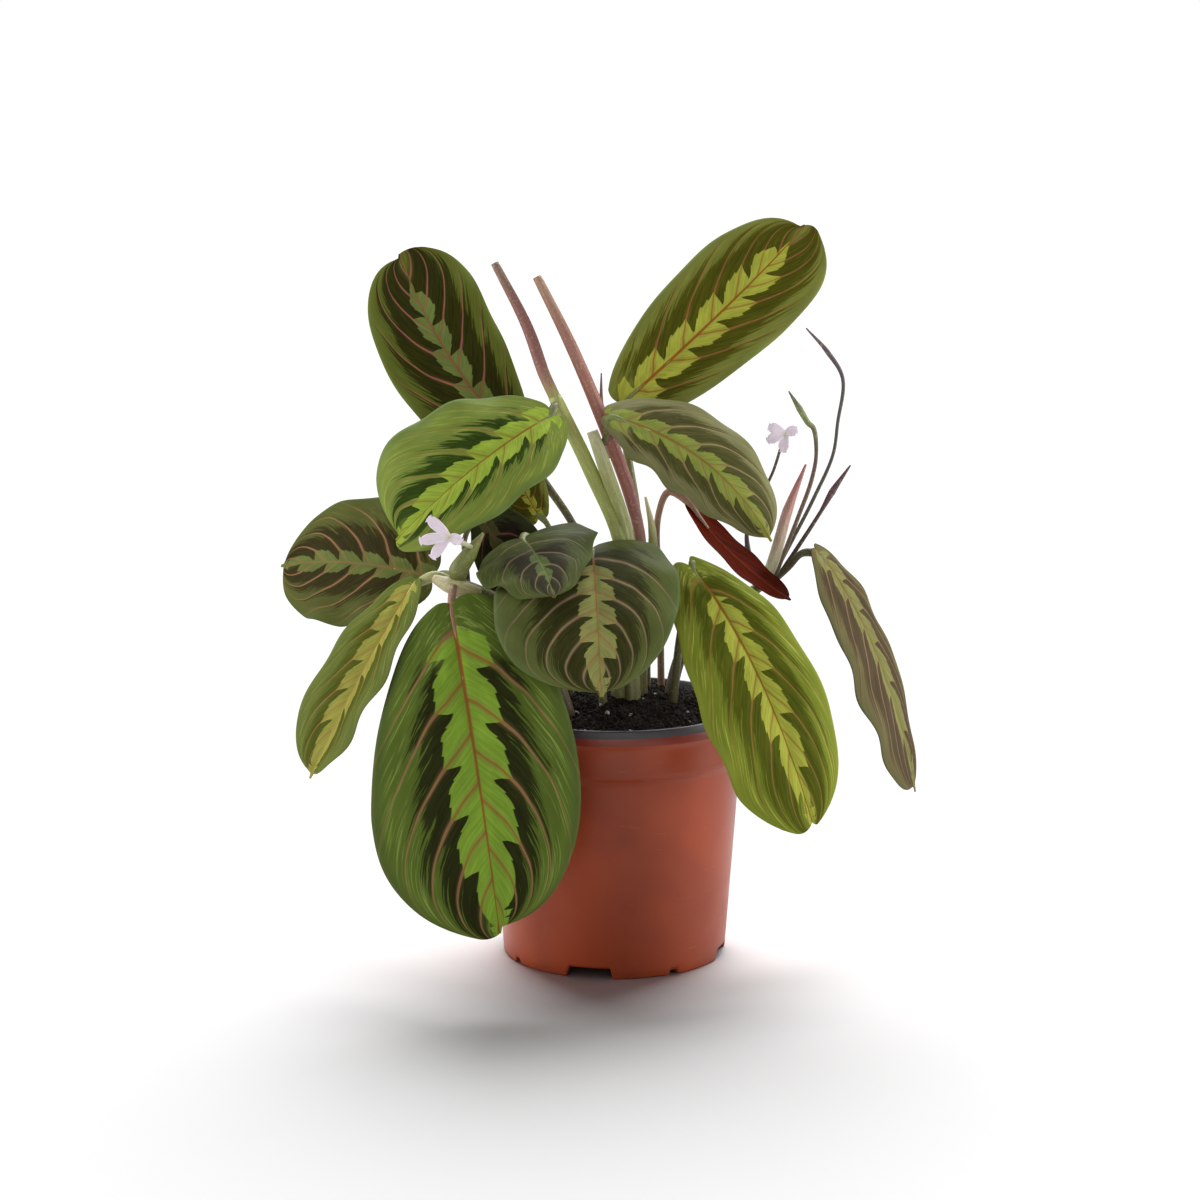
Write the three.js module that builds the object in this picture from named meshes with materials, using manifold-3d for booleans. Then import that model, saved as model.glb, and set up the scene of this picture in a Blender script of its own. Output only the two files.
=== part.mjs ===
// A potted prayer plant: a maranta with patterned leaves in a 12 cm nursery pot.
// Millimetres, +Z up. The origin is the centre of the pot's underside, on the surface it stands on.
// +X is to the right and -Y to the front of the view that the plant is arranged for.

import * as THREE from 'three';
import { mergeVertices } from 'three/addons/utils/BufferGeometryUtils.js';
import Module from 'manifold-3d';

const wasm = await Module();
wasm.setup();

// ---------------------------------------------------------------- driving dimensions

const gap = 0.35;               // clearance where one piece meets another

const pot = {
  height: 116,
  rimRadius: 60,
  bodyRadius: 58,               // just under the collar
  footRadius: 51.3,
  collarBottom: 93,
  collarTop: 108.4,             // a bright edge line, then the smooth rim band
  wall: 1.5,
  floorTop: 8,
  floorUnder: 5.5,              // height of the drained ring under the floor
  padRadius: 14,                // flat pad at the centre of the underside
  footWidth: 3.8,
  segments: 40,
};
const drainHoles = { count: 8, ring: 33, radius: 3.5 };
const wideNotches = { count: 4, firstAngle: 257, width: 22, topWidth: 19, height: 5 };
const smallNotches = { count: 4, firstAngle: 301, width: 5, topWidth: 3.5, height: 2.4 };

const soil = {
  edgeHeight: 111.5,            // where it meets the wall of the pot
  crown: 11,                    // how far the middle mounds above that
  clods: 1.4,                   // height of the lumps on its surface
  segments: 30,
};

const blade = {
  thickness: 0.8,
  rows: 11,                     // along the midrib
  columns: 4,                   // from the midrib to each margin
  tipWidth: 0.7,                // half width of the small point at the leaf's end
  tipStart: 0.975,              // where the rounded end gives way to that point
};

const petiole = { sides: 5, steps: 2 };
const sheath = { sides: 8, steps: 3 };       // steps are the rings between one knot and the next
const rootDepth = 98;           // stems reach down into the soil to this height

// ---------------------------------------------------------------- solids and meshes

const vector = ([x, y, z]) => new THREE.Vector3(x, y, z);
const radians = THREE.MathUtils.degToRad;
const clamp = THREE.MathUtils.clamp;

function toSolid(geometry) {
  const bare = geometry.index ? geometry.clone() : mergeVertices(geometry.clone());
  bare.deleteAttribute('normal');
  bare.deleteAttribute('uv');
  const merged = mergeVertices(bare, 1e-4);
  const mesh = new wasm.Mesh({
    numProp: 3,
    vertProperties: new Float32Array(merged.attributes.position.array),
    triVerts: new Uint32Array(merged.index.array),
  });
  return new wasm.Manifold(mesh);
}

function toGeometry(solid) {
  const mesh = solid.getMesh();
  const geometry = new THREE.BufferGeometry();
  geometry.setAttribute('position', new THREE.BufferAttribute(new Float32Array(mesh.vertProperties), 3));
  geometry.setIndex(new THREE.BufferAttribute(new Uint32Array(mesh.triVerts), 1));
  return geometry;
}

// The largest body of a solid that a cut may have left in several pieces
function mainBody(solid) {
  const bodies = solid.decompose();
  bodies.sort((a, b) => b.volume() - a.volume());
  return bodies[0];
}

const join = (solids) => solids.reduce((sum, solid) => sum.add(solid));

function closedGeometry(positions, triangles) {
  const geometry = new THREE.BufferGeometry();
  geometry.setAttribute('position', new THREE.Float32BufferAttribute(positions, 3));
  geometry.setIndex(triangles);
  return geometry;
}

// A round stalk along a smooth path. Each knot is [x, y, z, radius]; grow swells it and its ends.
function stalk(knots, { sides, steps: spanSteps } = sheath, grow = 0) {
  const points = knots.map(vector);
  const last = points.length - 1;
  const startStep = points[0].clone().sub(points[1]).setLength(grow);
  const endStep = points[last].clone().sub(points[last - 1]).setLength(grow);
  points[0].add(startStep);
  points[last].add(endStep);
  const path = new THREE.CatmullRomCurve3(points);
  const steps = spanSteps * last;
  const positions = [];
  const triangles = [];
  let side = new THREE.Vector3(0.31, 0.95, 0.05);
  for (let i = 0; i <= steps; i += 1) {
    const along = (i / steps) * last;
    const knot = Math.min(Math.floor(along), last - 1);
    const radius = THREE.MathUtils.lerp(knots[knot][3], knots[knot + 1][3], along - knot) + grow;
    const centre = path.getPoint(i / steps);
    const tangent = path.getTangent(i / steps);
    side = side.clone().addScaledVector(tangent, -side.dot(tangent)).normalize();
    const across = tangent.clone().cross(side);
    for (let j = 0; j < sides; j += 1) {
      const angle = (2 * Math.PI * j) / sides;
      const ring = centre.clone();
      ring.addScaledVector(side, radius * Math.cos(angle));
      ring.addScaledVector(across, radius * Math.sin(angle));
      positions.push(...ring);
    }
  }
  const rings = (steps + 1) * sides;
  positions.push(...path.getPoint(0), ...path.getPoint(1));
  for (let j = 0; j < sides; j += 1) {
    const next = (j + 1) % sides;
    for (let i = 0; i < steps; i += 1) {
      const a = i * sides;
      const b = a + sides;
      triangles.push(a + j, a + next, b + next, a + j, b + next, b + j);
    }
    triangles.push(rings, next, j);
    triangles.push(rings + 1, rings - sides + j, rings - sides + next);
  }
  return toSolid(closedGeometry(positions, triangles));
}

// ---------------------------------------------------------------- leaves

// A leaf is laid out along its midrib, an arc from base to tip that bows by the given vector.
// face is the way its upper side looks. Every pair of values is for the two halves of the blade:
// seen from above with the tip away, left then right. half is the widest reach from the midrib and
// widest is where that is. neck and endNeck are the share of it left at the base and at the end,
// where the halves may round off beyond the midrib by lobe and endLobe. fold lifts a half off the
// flat, and curl bends it on towards the margin, in degrees.
const leaves = [
  {
    name: 'leaf_upper_left', base: [-46, 25, 234], tip: [-101, 75, 316], bow: [-6, -4, 0],
    face: [0.2, -0.9, 0.4], half: [30, 28], widest: [0.4, 0.68], roundness: [2.4, 3],
    neck: [0.75, 0.3], lobe: [2, 2], endNeck: [0, 0.4], endLobe: [0, 1.5],
    fold: [8, 8], curl: [-15, 5],
    petiole: [[-8, 7, rootDepth, 2], [-8, 8, 150, 1.9], [-16, 14, 190, 1.8], [-33, 22, 216, 1.7]],
  },
  {
    name: 'leaf_upper_right', base: [4, 15, 252], tip: [88, 45, 331], bow: [8, 6, 5],
    face: [-0.1, -0.95, 0.3], half: [28, 27], widest: [0.5, 0.62], roundness: [2, 2.6],
    neck: [0.35, 0.5], lobe: [2, 2], endNeck: [0, 0.3], endLobe: [0, 2],
    fold: [8, 8], curl: [-20, -20],
    petiole: [[15, 6, rootDepth, 2], [14, 6, 160, 1.9], [10, 9, 205, 1.8], [5, 13, 238, 1.7]],
  },
  {
    name: 'leaf_mid_left', base: [-28, -15, 250], tip: [-96, -42, 198], bow: [1, -8, 6],
    face: [-0.1, -0.8, 0.6], half: [26, 39], widest: [0.38, 0.7], roundness: [2.3, 2.8],
    neck: [0.4, 0.3], lobe: [3, 2], endNeck: [0.3, 0], endLobe: [1.5, 0],
    fold: [8, 8], curl: [-20, -20], shoot: 'centre',
    petiole: [[-27, -2, 253, 1.8], [-27, -9, 253, 1.9]],
  },
  {
    name: 'leaf_mid_right', base: [-4, -12, 250], tip: [70, -20, 194], bow: [6, -8, 9],
    face: [0.1, -0.8, 0.6], half: [28, 22], widest: [0.45, 0.5], roundness: [2.3, 2.3],
    neck: [0.3, 0.3], lobe: [2, 2], fold: [2, -50], curl: [-35, -15], shoot: 'centre',
    petiole: [[-5, -6, 236, 1.4], [-3, -9.5, 244, 1.5]],
  },
  {
    name: 'leaf_far_left', base: [-83, -15, 177], tip: [-157, 50, 171], bow: [-1, -6, 5],
    face: [-0.5, -0.7, 0.4], half: [30, 33], widest: [0.5, 0.42], roundness: [2.4, 2.3],
    neck: [0.4, 0.4], lobe: [3, 3], fold: [8, 8], curl: [-20, -20], shoot: 'left',
    petiole: [[-69.5, -35, 178.5, 1.4], [-74, -25, 180, 1.5]],
  },
  {
    name: 'leaf_lower_left', base: [-88, -35, 179], tip: [-134, -60, 95], bow: [-1, -4, 2],
    face: [-0.65, -0.5, 0.5], half: [24, 26], widest: [0.5, 0.65], roundness: [2.3, 2.8],
    neck: [0.2, 0.2], lobe: [1, 1], fold: [20, 20], curl: [-20, -20], shoot: 'left',
    petiole: [[-71, -37, 178, 2], [-79, -36, 181, 2.1]],
  },
  {
    name: 'leaf_front_large', base: [-72, -55, 172], tip: [-50, -92, 34], bow: [2, -16, 1],
    face: [0, -0.95, 0.3], half: [44, 49], widest: [0.48, 0.6], roundness: [2.2, 2.6],
    neck: [0.4, 0.15], lobe: [3, 1], shoulder: [2, 1.4], endNeck: [0, 0.25], endLobe: [0, 2],
    fold: [8, 8], curl: [-25, -25], rows: 14, shoot: 'left',
    petiole: [[-69, -38, 176, 1.4], [-71, -47, 177, 1.4]],
  },
  {
    name: 'leaf_centre_small', base: [-41, -25, 196], tip: [-26, -85, 180], bow: [1, 0, 2],
    face: [-0.13, -0.4, 0.88], half: [31, 29], widest: [0.24, 0.38], roundness: [0.9, 1.1],
    neck: [0.84, 0.5], lobe: [2, 2], fold: [8, 8], curl: [-20, -30],
    petiole: [[-21, -11, rootDepth, 1.8], [-23, -10, 150, 1.7], [-33, -11, 187, 1.6], [-40, -18, 196, 1.6]],
  },
  {
    name: 'leaf_centre_shaded', base: [-59, -15, 203], tip: [-40, 5, 150], bow: [3, 0, 0],
    face: [0.1, -0.9, 0.4], half: [20, 14], widest: [0.4, 0.4], roundness: [2.3, 2.3],
    neck: [0.5, 0.5], lobe: [3, 3], fold: [8, 8], curl: [-20, -20], shoot: 'left',
    petiole: [[-65, -36, 176, 1.3], [-66, -31, 186, 1.2], [-67, -25, 195, 1.2], [-63, -18, 203, 1.3]],
  },
  {
    name: 'leaf_centre_heart', base: [-10, -25, 192], tip: [-6, -90, 138], bow: [0, -12, 8],
    face: [0, -0.6, 0.8], half: [37, 45], widest: [0.34, 0.45], roundness: [1.9, 2.8],
    neck: [0.8, 0.6], lobe: [6, 5], fold: [8, 8], curl: [-20, -25],
    petiole: [[-5, -25, rootDepth, 1.9], [-6, -24, 150, 1.8], [-9, -20, 184, 1.8]],
  },
  {
    name: 'leaf_right_front', base: [34, -30, 184], tip: [86, -70, 78], bow: [2, -12, 11],
    face: [0.3, -0.8, 0.4], half: [27.5, 33], widest: [0.62, 0.65], roundness: [2.4, 2.6],
    neck: [0.25, 0.3], lobe: [6, 5], shoulder: [2, 1.7], endNeck: [0.15, 0.35], endLobe: [2, 3],
    fold: [8, 8], curl: [-20, -20],
    petiole: [[25, -16, rootDepth, 1.9], [29, -15, 145, 1.9], [34, -17, 176, 1.8], [35, -24, 185, 1.8]],
  },
  {
    name: 'leaf_right_red', base: [33, 8, 207], tip: [79, -18, 167], bow: [-1, 0, -3],
    face: [-0.5, 0.35, -0.7], half: [11, 13], widest: [0.68, 0.5], roundness: [2.3, 2.3],
    neck: [0.1, 0.3], lobe: [1, 1], shoulder: [1.5, 2], fold: [8, 8], curl: [-20, -20],
    petiole: [[22, 10, rootDepth, 1.7], [21, 12, 160, 1.6], [20, 13, 200, 1.5], [25, 11, 212, 1.5]],
  },
  {
    name: 'leaf_far_right', base: [91, -5, 188], tip: [141, 20, 69], bow: [4, -5, 9],
    face: [0.6, -0.4, 0.5], half: [20, 32], widest: [0.55, 0.58], roundness: [2.3, 2.3],
    neck: [0.2, 0.2], lobe: [2, 2], fold: [8, 8], curl: [-20, -20], shoot: 'right',
    petiole: [[72, 5, 171, 1.5], [79, -1, 179, 1.5], [85, -4, 186, 1.5]],
  },
  {
    name: 'leaf_back_small', base: [-35, 13, 201], tip: [-53, 12, 234], bow: [0, -2, 0],
    face: [0, -0.9, 0.3], half: [14, 11], widest: [0.45, 0.45], roundness: [2.3, 2.3],
    neck: [0.5, 0.5], lobe: [3, 3], fold: [8, 8], curl: [-20, -20],
    petiole: [[-18, 2, rootDepth, 1.3], [-19, 3, 140, 1.2], [-24, 9, 180, 1.1], [-31, 13, 197, 1.1]],
  },
];

const edgeWave = { share: 0.04, count: 3, leftPhase: 2.6, rightPhase: 1 };   // share of the width

// How far the blade reaches from the midrib at s, from 0 at the base to 1 at the tip
function halfWidth(leaf, side, s) {
  const widest = leaf.widest[side];
  const neck = leaf.neck[side];
  const endNeck = leaf.endNeck?.[side] ?? 0;
  const shoulder = leaf.shoulder?.[side] ?? 2;
  const roundness = leaf.roundness[side];
  const end = endNeck > 0 ? 1 : blade.tipStart;
  const baseSpan = widest / (1 - neck ** 2) ** (1 / shoulder);
  const endSpan = (end - widest) / (1 - endNeck ** 2) ** (1 / roundness);
  const out = s < widest
    ? clamp((widest - s) / baseSpan, 0, 1) ** shoulder
    : clamp((s - widest) / endSpan, 0, 1) ** roundness;
  const point = s > 0.93 ? blade.tipWidth + 40 * (1 - s) : blade.tipWidth;
  return Math.max(leaf.half[side] * Math.sqrt(1 - out), point);
}

// The midrib's place and axes at s: along it, across the blade to the right, and up off the blade
function midrib(leaf, s) {
  const base = vector(leaf.base);
  const tip = vector(leaf.tip);
  const control = base.clone().add(tip).multiplyScalar(0.5).addScaledVector(vector(leaf.bow), 2);
  const arc = new THREE.QuadraticBezierCurve3(base, control, tip);
  const along = arc.getTangent(s);
  const face = vector(leaf.face).normalize();
  const up = face.addScaledVector(along, -face.dot(along)).normalize();
  return { place: arc.getPoint(s), along, up, across: along.clone().cross(up) };
}

// A point of the blade's middle surface; t runs from -1 at the left margin to 1 at the right
function bladePoint(leaf, s, t) {
  const { place, along, up, across } = midrib(leaf, s);
  const side = t < 0 ? 0 : 1;
  const hand = t < 0 ? -1 : 1;
  const out = Math.abs(t);
  const width = halfWidth(leaf, side, s);
  const fold = radians(leaf.fold[side]);
  const curl = radians(leaf.curl[side]);
  const reach = (width * (Math.sin(fold + curl * out) - Math.sin(fold))) / curl;
  const rise = (width * (Math.cos(fold) - Math.cos(fold + curl * out))) / curl;
  const phase = side === 0 ? edgeWave.leftPhase : edgeWave.rightPhase;
  const wave = edgeWave.share * width * out * out * Math.sin(2 * Math.PI * edgeWave.count * s + phase);
  const roundOff = Math.max(Math.sin(Math.PI * out), 0) ** 0.7;
  const backward = leaf.lobe[side] * clamp(1 - s / 0.35, 0, 1) ** 2;
  const forward = (leaf.endLobe?.[side] ?? 0) * clamp((s - 0.65) / 0.35, 0, 1) ** 2;
  place.addScaledVector(across, hand * reach);
  place.addScaledVector(up, rise + wave);
  place.addScaledVector(along, roundOff * (forward - backward));
  return place;
}

// Two sheets of triangles, split alike, half a thickness to either side of the middle surface
function bladeSolid(leaf) {
  const { thickness } = blade;
  const { rows = blade.rows, columns = blade.columns } = leaf;
  const wide = 2 * columns + 1;
  const sheet = [];
  for (let i = 0; i <= rows; i += 1) {
    const s = (1 - Math.cos((Math.PI * i) / rows)) / 2;
    for (let j = 0; j < wide; j += 1) sheet.push(bladePoint(leaf, s, j / columns - 1));
  }
  const at = (i, j) => sheet[i * wide + j];
  const upper = [];
  const lower = [];
  for (let i = 0; i <= rows; i += 1) {
    for (let j = 0; j < wide; j += 1) {
      const lengthwise = at(Math.min(i + 1, rows), j).clone().sub(at(Math.max(i - 1, 0), j));
      const crosswise = at(i, Math.min(j + 1, wide - 1)).clone().sub(at(i, Math.max(j - 1, 0)));
      const off = crosswise.cross(lengthwise).setLength(thickness / 2);
      upper.push(...at(i, j).clone().add(off));
      lower.push(...at(i, j).clone().sub(off));
    }
  }
  const under = (rows + 1) * wide;
  const triangles = [];
  const square = (a, b, c, d) => triangles.push(a, b, c, a, c, d);
  for (let i = 0; i < rows; i += 1) {
    for (let j = 0; j < wide - 1; j += 1) {
      const a = i * wide + j;
      const b = a + wide;
      square(a, a + 1, b + 1, b);
      triangles.push(under + a, under + b + 1, under + a + 1);
      triangles.push(under + a, under + b, under + b + 1);
    }
    const left = i * wide;
    const right = left + wide - 1;
    square(left, left + wide, under + left + wide, under + left);
    square(right, under + right, under + right + wide, right + wide);
  }
  for (let j = 0; j < wide - 1; j += 1) {
    const end = rows * wide + j;
    square(j, under + j, under + j + 1, j + 1);
    square(end, end + 1, under + end + 1, under + end);
  }
  return toSolid(closedGeometry([...upper, ...lower], triangles));
}

// The leaf's stalk runs on under the blade as a tapering midrib
function petioleKnots(leaf) {
  const stations = [0.02, 0.1, 0.22];
  const radii = [1.6, 1.1, 0.5];
  const rib = stations.map((s, i) => {
    const { place, up } = midrib(leaf, s);
    place.addScaledVector(up, -0.8 * radii[i]);
    return [...place, radii[i]];
  });
  return [...leaf.petiole, ...rib];
}

function leafSolid(leaf) {
  const whole = bladeSolid(leaf).add(stalk(petioleKnots(leaf), petiole));
  return leaf.shoot ? mainBody(whole.subtract(shootClearance[leaf.shoot])) : whole;
}

// ---------------------------------------------------------------- shoots, sheaths and young leaves

// Each shoot is a bundle of leaf sheaths grown together, given as stalks of [x, y, z, radius]
const shoots = {
  centre: [
    [[2, -15, rootDepth, 4], [2, -15, 150, 3.8], [3, -10, 190, 3.6], [-11, -5, 224, 3.3], [-27, -2, 257, 3]],
    [[9, -15, rootDepth, 4], [7, -14, 150, 3.8], [6, -8, 191, 3.6], [-4, -8, 225, 3.2], [-10, -7, 242, 2.6]],
    [[12, -10, rootDepth, 3.4], [12, -9, 150, 3.2], [17, -2, 183, 2.4], [17, 0, 196, 1.8], [14, 2, 211, 0.6]],
  ],
  left: [
    [
      [-20, -30, rootDepth, 4], [-22, -31, 118, 4], [-34, -36, 146, 4],
      [-51, -38, 168, 4.2], [-71, -37, 178, 3.4],
    ],
    [[-60, -39.5, 173, 3.6], [-68, -41, 176, 4.2], [-75, -40, 178.5, 3.2], [-80, -38, 180.5, 1.9]],
    [[-69, -37, 177, 2.8], [-69, -39.5, 184, 4.4], [-64, -40.5, 192, 3.4], [-58, -41, 201, 0.7]],
  ],
  right: [
    [[25, -3, rootDepth, 3], [26, -3, 123, 3], [34, 0, 145, 2.8], [55, 4, 161, 2.6], [73, 5, 174, 2.2]],
    [[68, 5, 169, 2.4], [73, 6, 182, 2.8], [79, 7, 204, 2.4], [87, 8, 225, 0.5]],
  ],
};

const shootClearance = {};
for (const [name, stalks] of Object.entries(shoots)) {
  shootClearance[name] = join(stalks.map((knots) => stalk(knots, sheath, gap)));
}

// Young leaves still rolled up into spikes, each standing out of a sheath
const rolledLeaves = {
  rolled_leaf_left: [[-26, -2, 255, 2.7], [-32, 0, 268, 2.8], [-40, 4, 289, 2.4], [-54, 8, 316, 1.8]],
  rolled_leaf_right: [
    [10, -9, 168, 2], [12, -3.5, 190, 2.6], [7, -1.5, 212, 2.9], [-2, -0.5, 237, 3],
    [-7, -1, 250, 3], [-20, 2, 280, 2.7], [-35, 6, 310, 2.1],
  ],
};

// Thin upright stalks: a spiked sheath in the centre and the flower stalks of the right shoot
const thinStalks = {
  needle_sheath: [[-3, 6, 228, 1], [-5, 4, 244, 1.1], [-6, 3.5, 255, 0.9], [-6, 4, 267, 0.35]],
  flower_stalk_short: [
    [76, 4, 176, 1], [84, 5, 188, 1], [94, 5, 204, 0.9], [99, 5, 213, 1.6], [107, 5, 225, 0.4],
  ],
  flower_stalk_bract: [
    [73, 8, 172, 1.1], [84, 12, 200, 1], [90, 13, 217, 1], [92, 13, 229, 0.9],
    [90.5, 12, 241, 1.2], [88, 11, 243.5, 1.3], [84, 11, 250, 1.5], [79, 11, 258, 0.35],
  ],
  flower_stalk_tall: [
    [71, 9, 170, 1], [82, 17, 189, 0.9], [92, 18, 209, 0.9], [100, 18, 228, 0.8], [102, 18, 243, 0.8],
    [104, 18, 263, 0.9], [97, 18, 275, 1.2], [87, 18, 286, 0.35],
  ],
  flower_stalk_bud: [
    [66, 7, 167, 0.9], [62, 17, 181, 1.5], [61, 18, 194, 0.8], [64, 16, 203, 0.7], [72, 9.5, 221, 0.7],
    [75.6, 7.8, 233.2, 0.7],
  ],
};

// ---------------------------------------------------------------- flowers

// Each petal is a narrow blade from the throat: [direction it points, length]
const petalShape = { width: 4.5, rows: 4, columns: 1 };
const flowers = [
  {
    name: 'flower_left', throat: [-72, -60, 202.5], face: [-0.2, -0.95, 0.2], tube: [-63, -44.8, 195.5, 1],
    petals: [
      [[-0.75, -0.1, 0.7], 12.5], [[-1, -0.1, -0.15], 13], [[-0.6, -0.2, -0.75], 12], [[0.8, 0.1, -0.4], 6],
    ],
  },
  {
    name: 'flower_right', throat: [77, 3, 239.5], face: [-0.2, -0.95, 0.2], tube: [75.9, 7.6, 234.3, 1],
    petals: [
      [[-1, -0.1, 0.45], 8.5], [[-0.9, -0.2, -0.35], 9], [[-0.1, -0.2, -1], 8.5], [[0.9, -0.1, 0.3], 6],
    ],
  },
];

// A petal is a short leaf of its own: rounded at the end and narrow at the throat
function petalSolid(flower, direction, length) {
  const base = vector(flower.throat);
  const tip = base.clone().addScaledVector(vector(direction).normalize(), length);
  const half = petalShape.width / 2;
  return bladeSolid({
    base: [...base], tip: [...tip], bow: [0, -0.6, 0.4], face: flower.face,
    half: [half, half], widest: [0.65, 0.65], roundness: [2, 2], neck: [0.3, 0.3], lobe: [0, 0],
    fold: [10, 10], curl: [-12, -12], rows: petalShape.rows, columns: petalShape.columns,
  });
}

function flowerSolid(flower) {
  const petals = flower.petals.map(([direction, length]) => petalSolid(flower, direction, length));
  const tube = stalk([[...flower.throat, 1.5], flower.tube], petiole);
  return join([tube, ...petals]);
}

// ---------------------------------------------------------------- pot and soil

function wedge(notch, angle) {
  const outline = new THREE.Shape();
  outline.moveTo(-notch.width / 2, -1);
  outline.lineTo(notch.width / 2, -1);
  outline.lineTo(notch.topWidth / 2, notch.height);
  outline.lineTo(-notch.topWidth / 2, notch.height);
  outline.closePath();
  const depth = 12;
  const prism = new THREE.ExtrudeGeometry(outline, { depth, bevelEnabled: false });
  prism.rotateX(Math.PI / 2);
  prism.translate(0, pot.footRadius + depth - 7, 0);
  prism.rotateZ(radians(angle - 90));
  return toSolid(prism);
}

function potSolid() {
  const r = pot.footRadius;
  const profile = [
    [0, 0], [pot.padRadius, 0], [pot.padRadius + 2, pot.floorUnder],
    [r - pot.footWidth - 1, pot.floorUnder], [r - pot.footWidth, 0], [r - 0.7, 0], [r, 0.8],
    [pot.bodyRadius, pot.collarBottom], [pot.rimRadius - 1.1, pot.collarBottom + 0.5],
    [pot.rimRadius - 0.7, pot.collarTop], [pot.rimRadius - 0.1, pot.collarTop + 0.5],
    [pot.rimRadius, pot.height - 0.7], [pot.rimRadius - 0.6, pot.height],
    [pot.rimRadius - 1.6, pot.height], [pot.rimRadius - 2, pot.height - 0.6],
    [pot.rimRadius - 2.4, pot.collarTop], [pot.bodyRadius - pot.wall, pot.collarBottom - 1],
    [r - pot.wall, pot.floorTop + 1.5], [r - pot.wall - 1.5, pot.floorTop], [0, pot.floorTop],
  ];
  const points = profile.map(([x, y]) => new THREE.Vector2(x, y));
  const lathe = new THREE.LatheGeometry(points, pot.segments);
  lathe.rotateX(Math.PI / 2);
  let body = toSolid(lathe);
  for (let i = 0; i < drainHoles.count; i += 1) {
    const angle = (2 * Math.PI * i) / drainHoles.count;
    const hole = new THREE.CylinderGeometry(drainHoles.radius, drainHoles.radius, pot.floorTop, 16);
    hole.rotateX(Math.PI / 2);
    hole.translate(drainHoles.ring * Math.cos(angle), drainHoles.ring * Math.sin(angle), pot.floorTop);
    body = body.subtract(toSolid(hole));
  }
  for (const notch of [wideNotches, smallNotches]) {
    for (let i = 0; i < notch.count; i += 1) {
      body = body.subtract(wedge(notch, notch.firstAngle + (360 * i) / notch.count));
    }
  }
  return body;
}

// Height of the lumps on the soil, from a few crossing ripples
function clods(x, y) {
  const broad = Math.sin(0.21 * x + 0.13 * y) + Math.sin(0.34 * y - 0.12 * x + 1);
  return (soil.clods * (broad + Math.sin(0.5 * x - 0.4 * y))) / 3;
}

function soilSolid() {
  const innerFoot = pot.footRadius - pot.wall - gap;
  const innerTop = pot.bodyRadius - pot.wall - gap;
  const bottom = pot.floorTop + gap;
  const profile = [[0, bottom], [innerFoot - 2, bottom], [innerFoot - gap, bottom + 2.5]];
  profile.push([innerTop - gap, pot.collarBottom - 1], [innerTop, soil.edgeHeight]);
  const rings = 5;
  for (let i = 1; i <= rings; i += 1) {
    const share = 1 - i / rings;
    profile.push([innerTop * share, soil.edgeHeight + soil.crown * (1 - share ** 2)]);
  }
  const points = profile.map(([x, y]) => new THREE.Vector2(x, y));
  const lathe = new THREE.LatheGeometry(points, soil.segments);
  lathe.rotateX(Math.PI / 2);
  const place = lathe.attributes.position;
  for (let i = 0; i < place.count; i += 1) {
    const reach = Math.hypot(place.getX(i), place.getY(i));
    const fade = clamp((innerTop - reach) / 6, 0, 1);
    if (place.getZ(i) > soil.edgeHeight) {
      place.setZ(i, place.getZ(i) + fade * clods(place.getX(i), place.getY(i)));
    }
  }
  const ownFeet = leaves.filter((leaf) => !leaf.shoot);
  const planted = [
    ...Object.values(shootClearance),
    ...ownFeet.map((leaf) => stalk(petioleKnots(leaf), petiole, gap)),
  ];
  return planted.reduce((ground, foot) => ground.subtract(foot), toSolid(lathe));
}

// ---------------------------------------------------------------- materials and assembly

const material = (color, roughness) => new THREE.MeshStandardMaterial({ color, roughness, metalness: 0 });

const finishes = {
  pot: [0xb5573c, 0.42],
  soil: [0x1d1713, 0.95],
  leaf: [0x5f7a35, 0.45],
  darkLeaf: [0x3d4a35, 0.45],
  redLeaf: [0x6e2a25, 0.4],
  rolledLeaf: [0x8a5f5a, 0.45],
  stem: [0x76844a, 0.5],
  flower: [0xe9dcec, 0.6],
};

const plant = new THREE.Group();

function addPiece(name, solid, [color, roughness]) {
  const mesh = new THREE.Mesh(toGeometry(solid), material(color, roughness));
  mesh.name = name;
  plant.add(mesh);
}

addPiece('pot', potSolid(), finishes.pot);
addPiece('soil', soilSolid(), finishes.soil);

for (const [name, stalks] of Object.entries(shoots)) {
  addPiece(`shoot_${name}`, join(stalks.map((knots) => stalk(knots))), finishes.stem);
}

const darkLeaves = ['leaf_upper_left', 'leaf_mid_right', 'leaf_centre_small', 'leaf_centre_heart'];
for (const leaf of leaves) {
  const plain = darkLeaves.includes(leaf.name) ? finishes.darkLeaf : finishes.leaf;
  addPiece(leaf.name, leafSolid(leaf), leaf.name === 'leaf_right_red' ? finishes.redLeaf : plain);
}

for (const [name, knots] of Object.entries(rolledLeaves)) {
  const young = stalk(knots).subtract(shootClearance.centre);
  addPiece(name, mainBody(young), finishes.rolledLeaf);
}

for (const [name, knots] of Object.entries(thinStalks)) {
  const thin = stalk(knots, petiole);
  const shoot = name === 'needle_sheath' ? shootClearance.centre : shootClearance.right;
  addPiece(name, mainBody(thin.subtract(shoot)), finishes.stem);
}

for (const flower of flowers) addPiece(flower.name, flowerSolid(flower), finishes.flower);

export default plant;
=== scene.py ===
import math
import bmesh
import bpy
from mathutils import Matrix, Vector, noise


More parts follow.
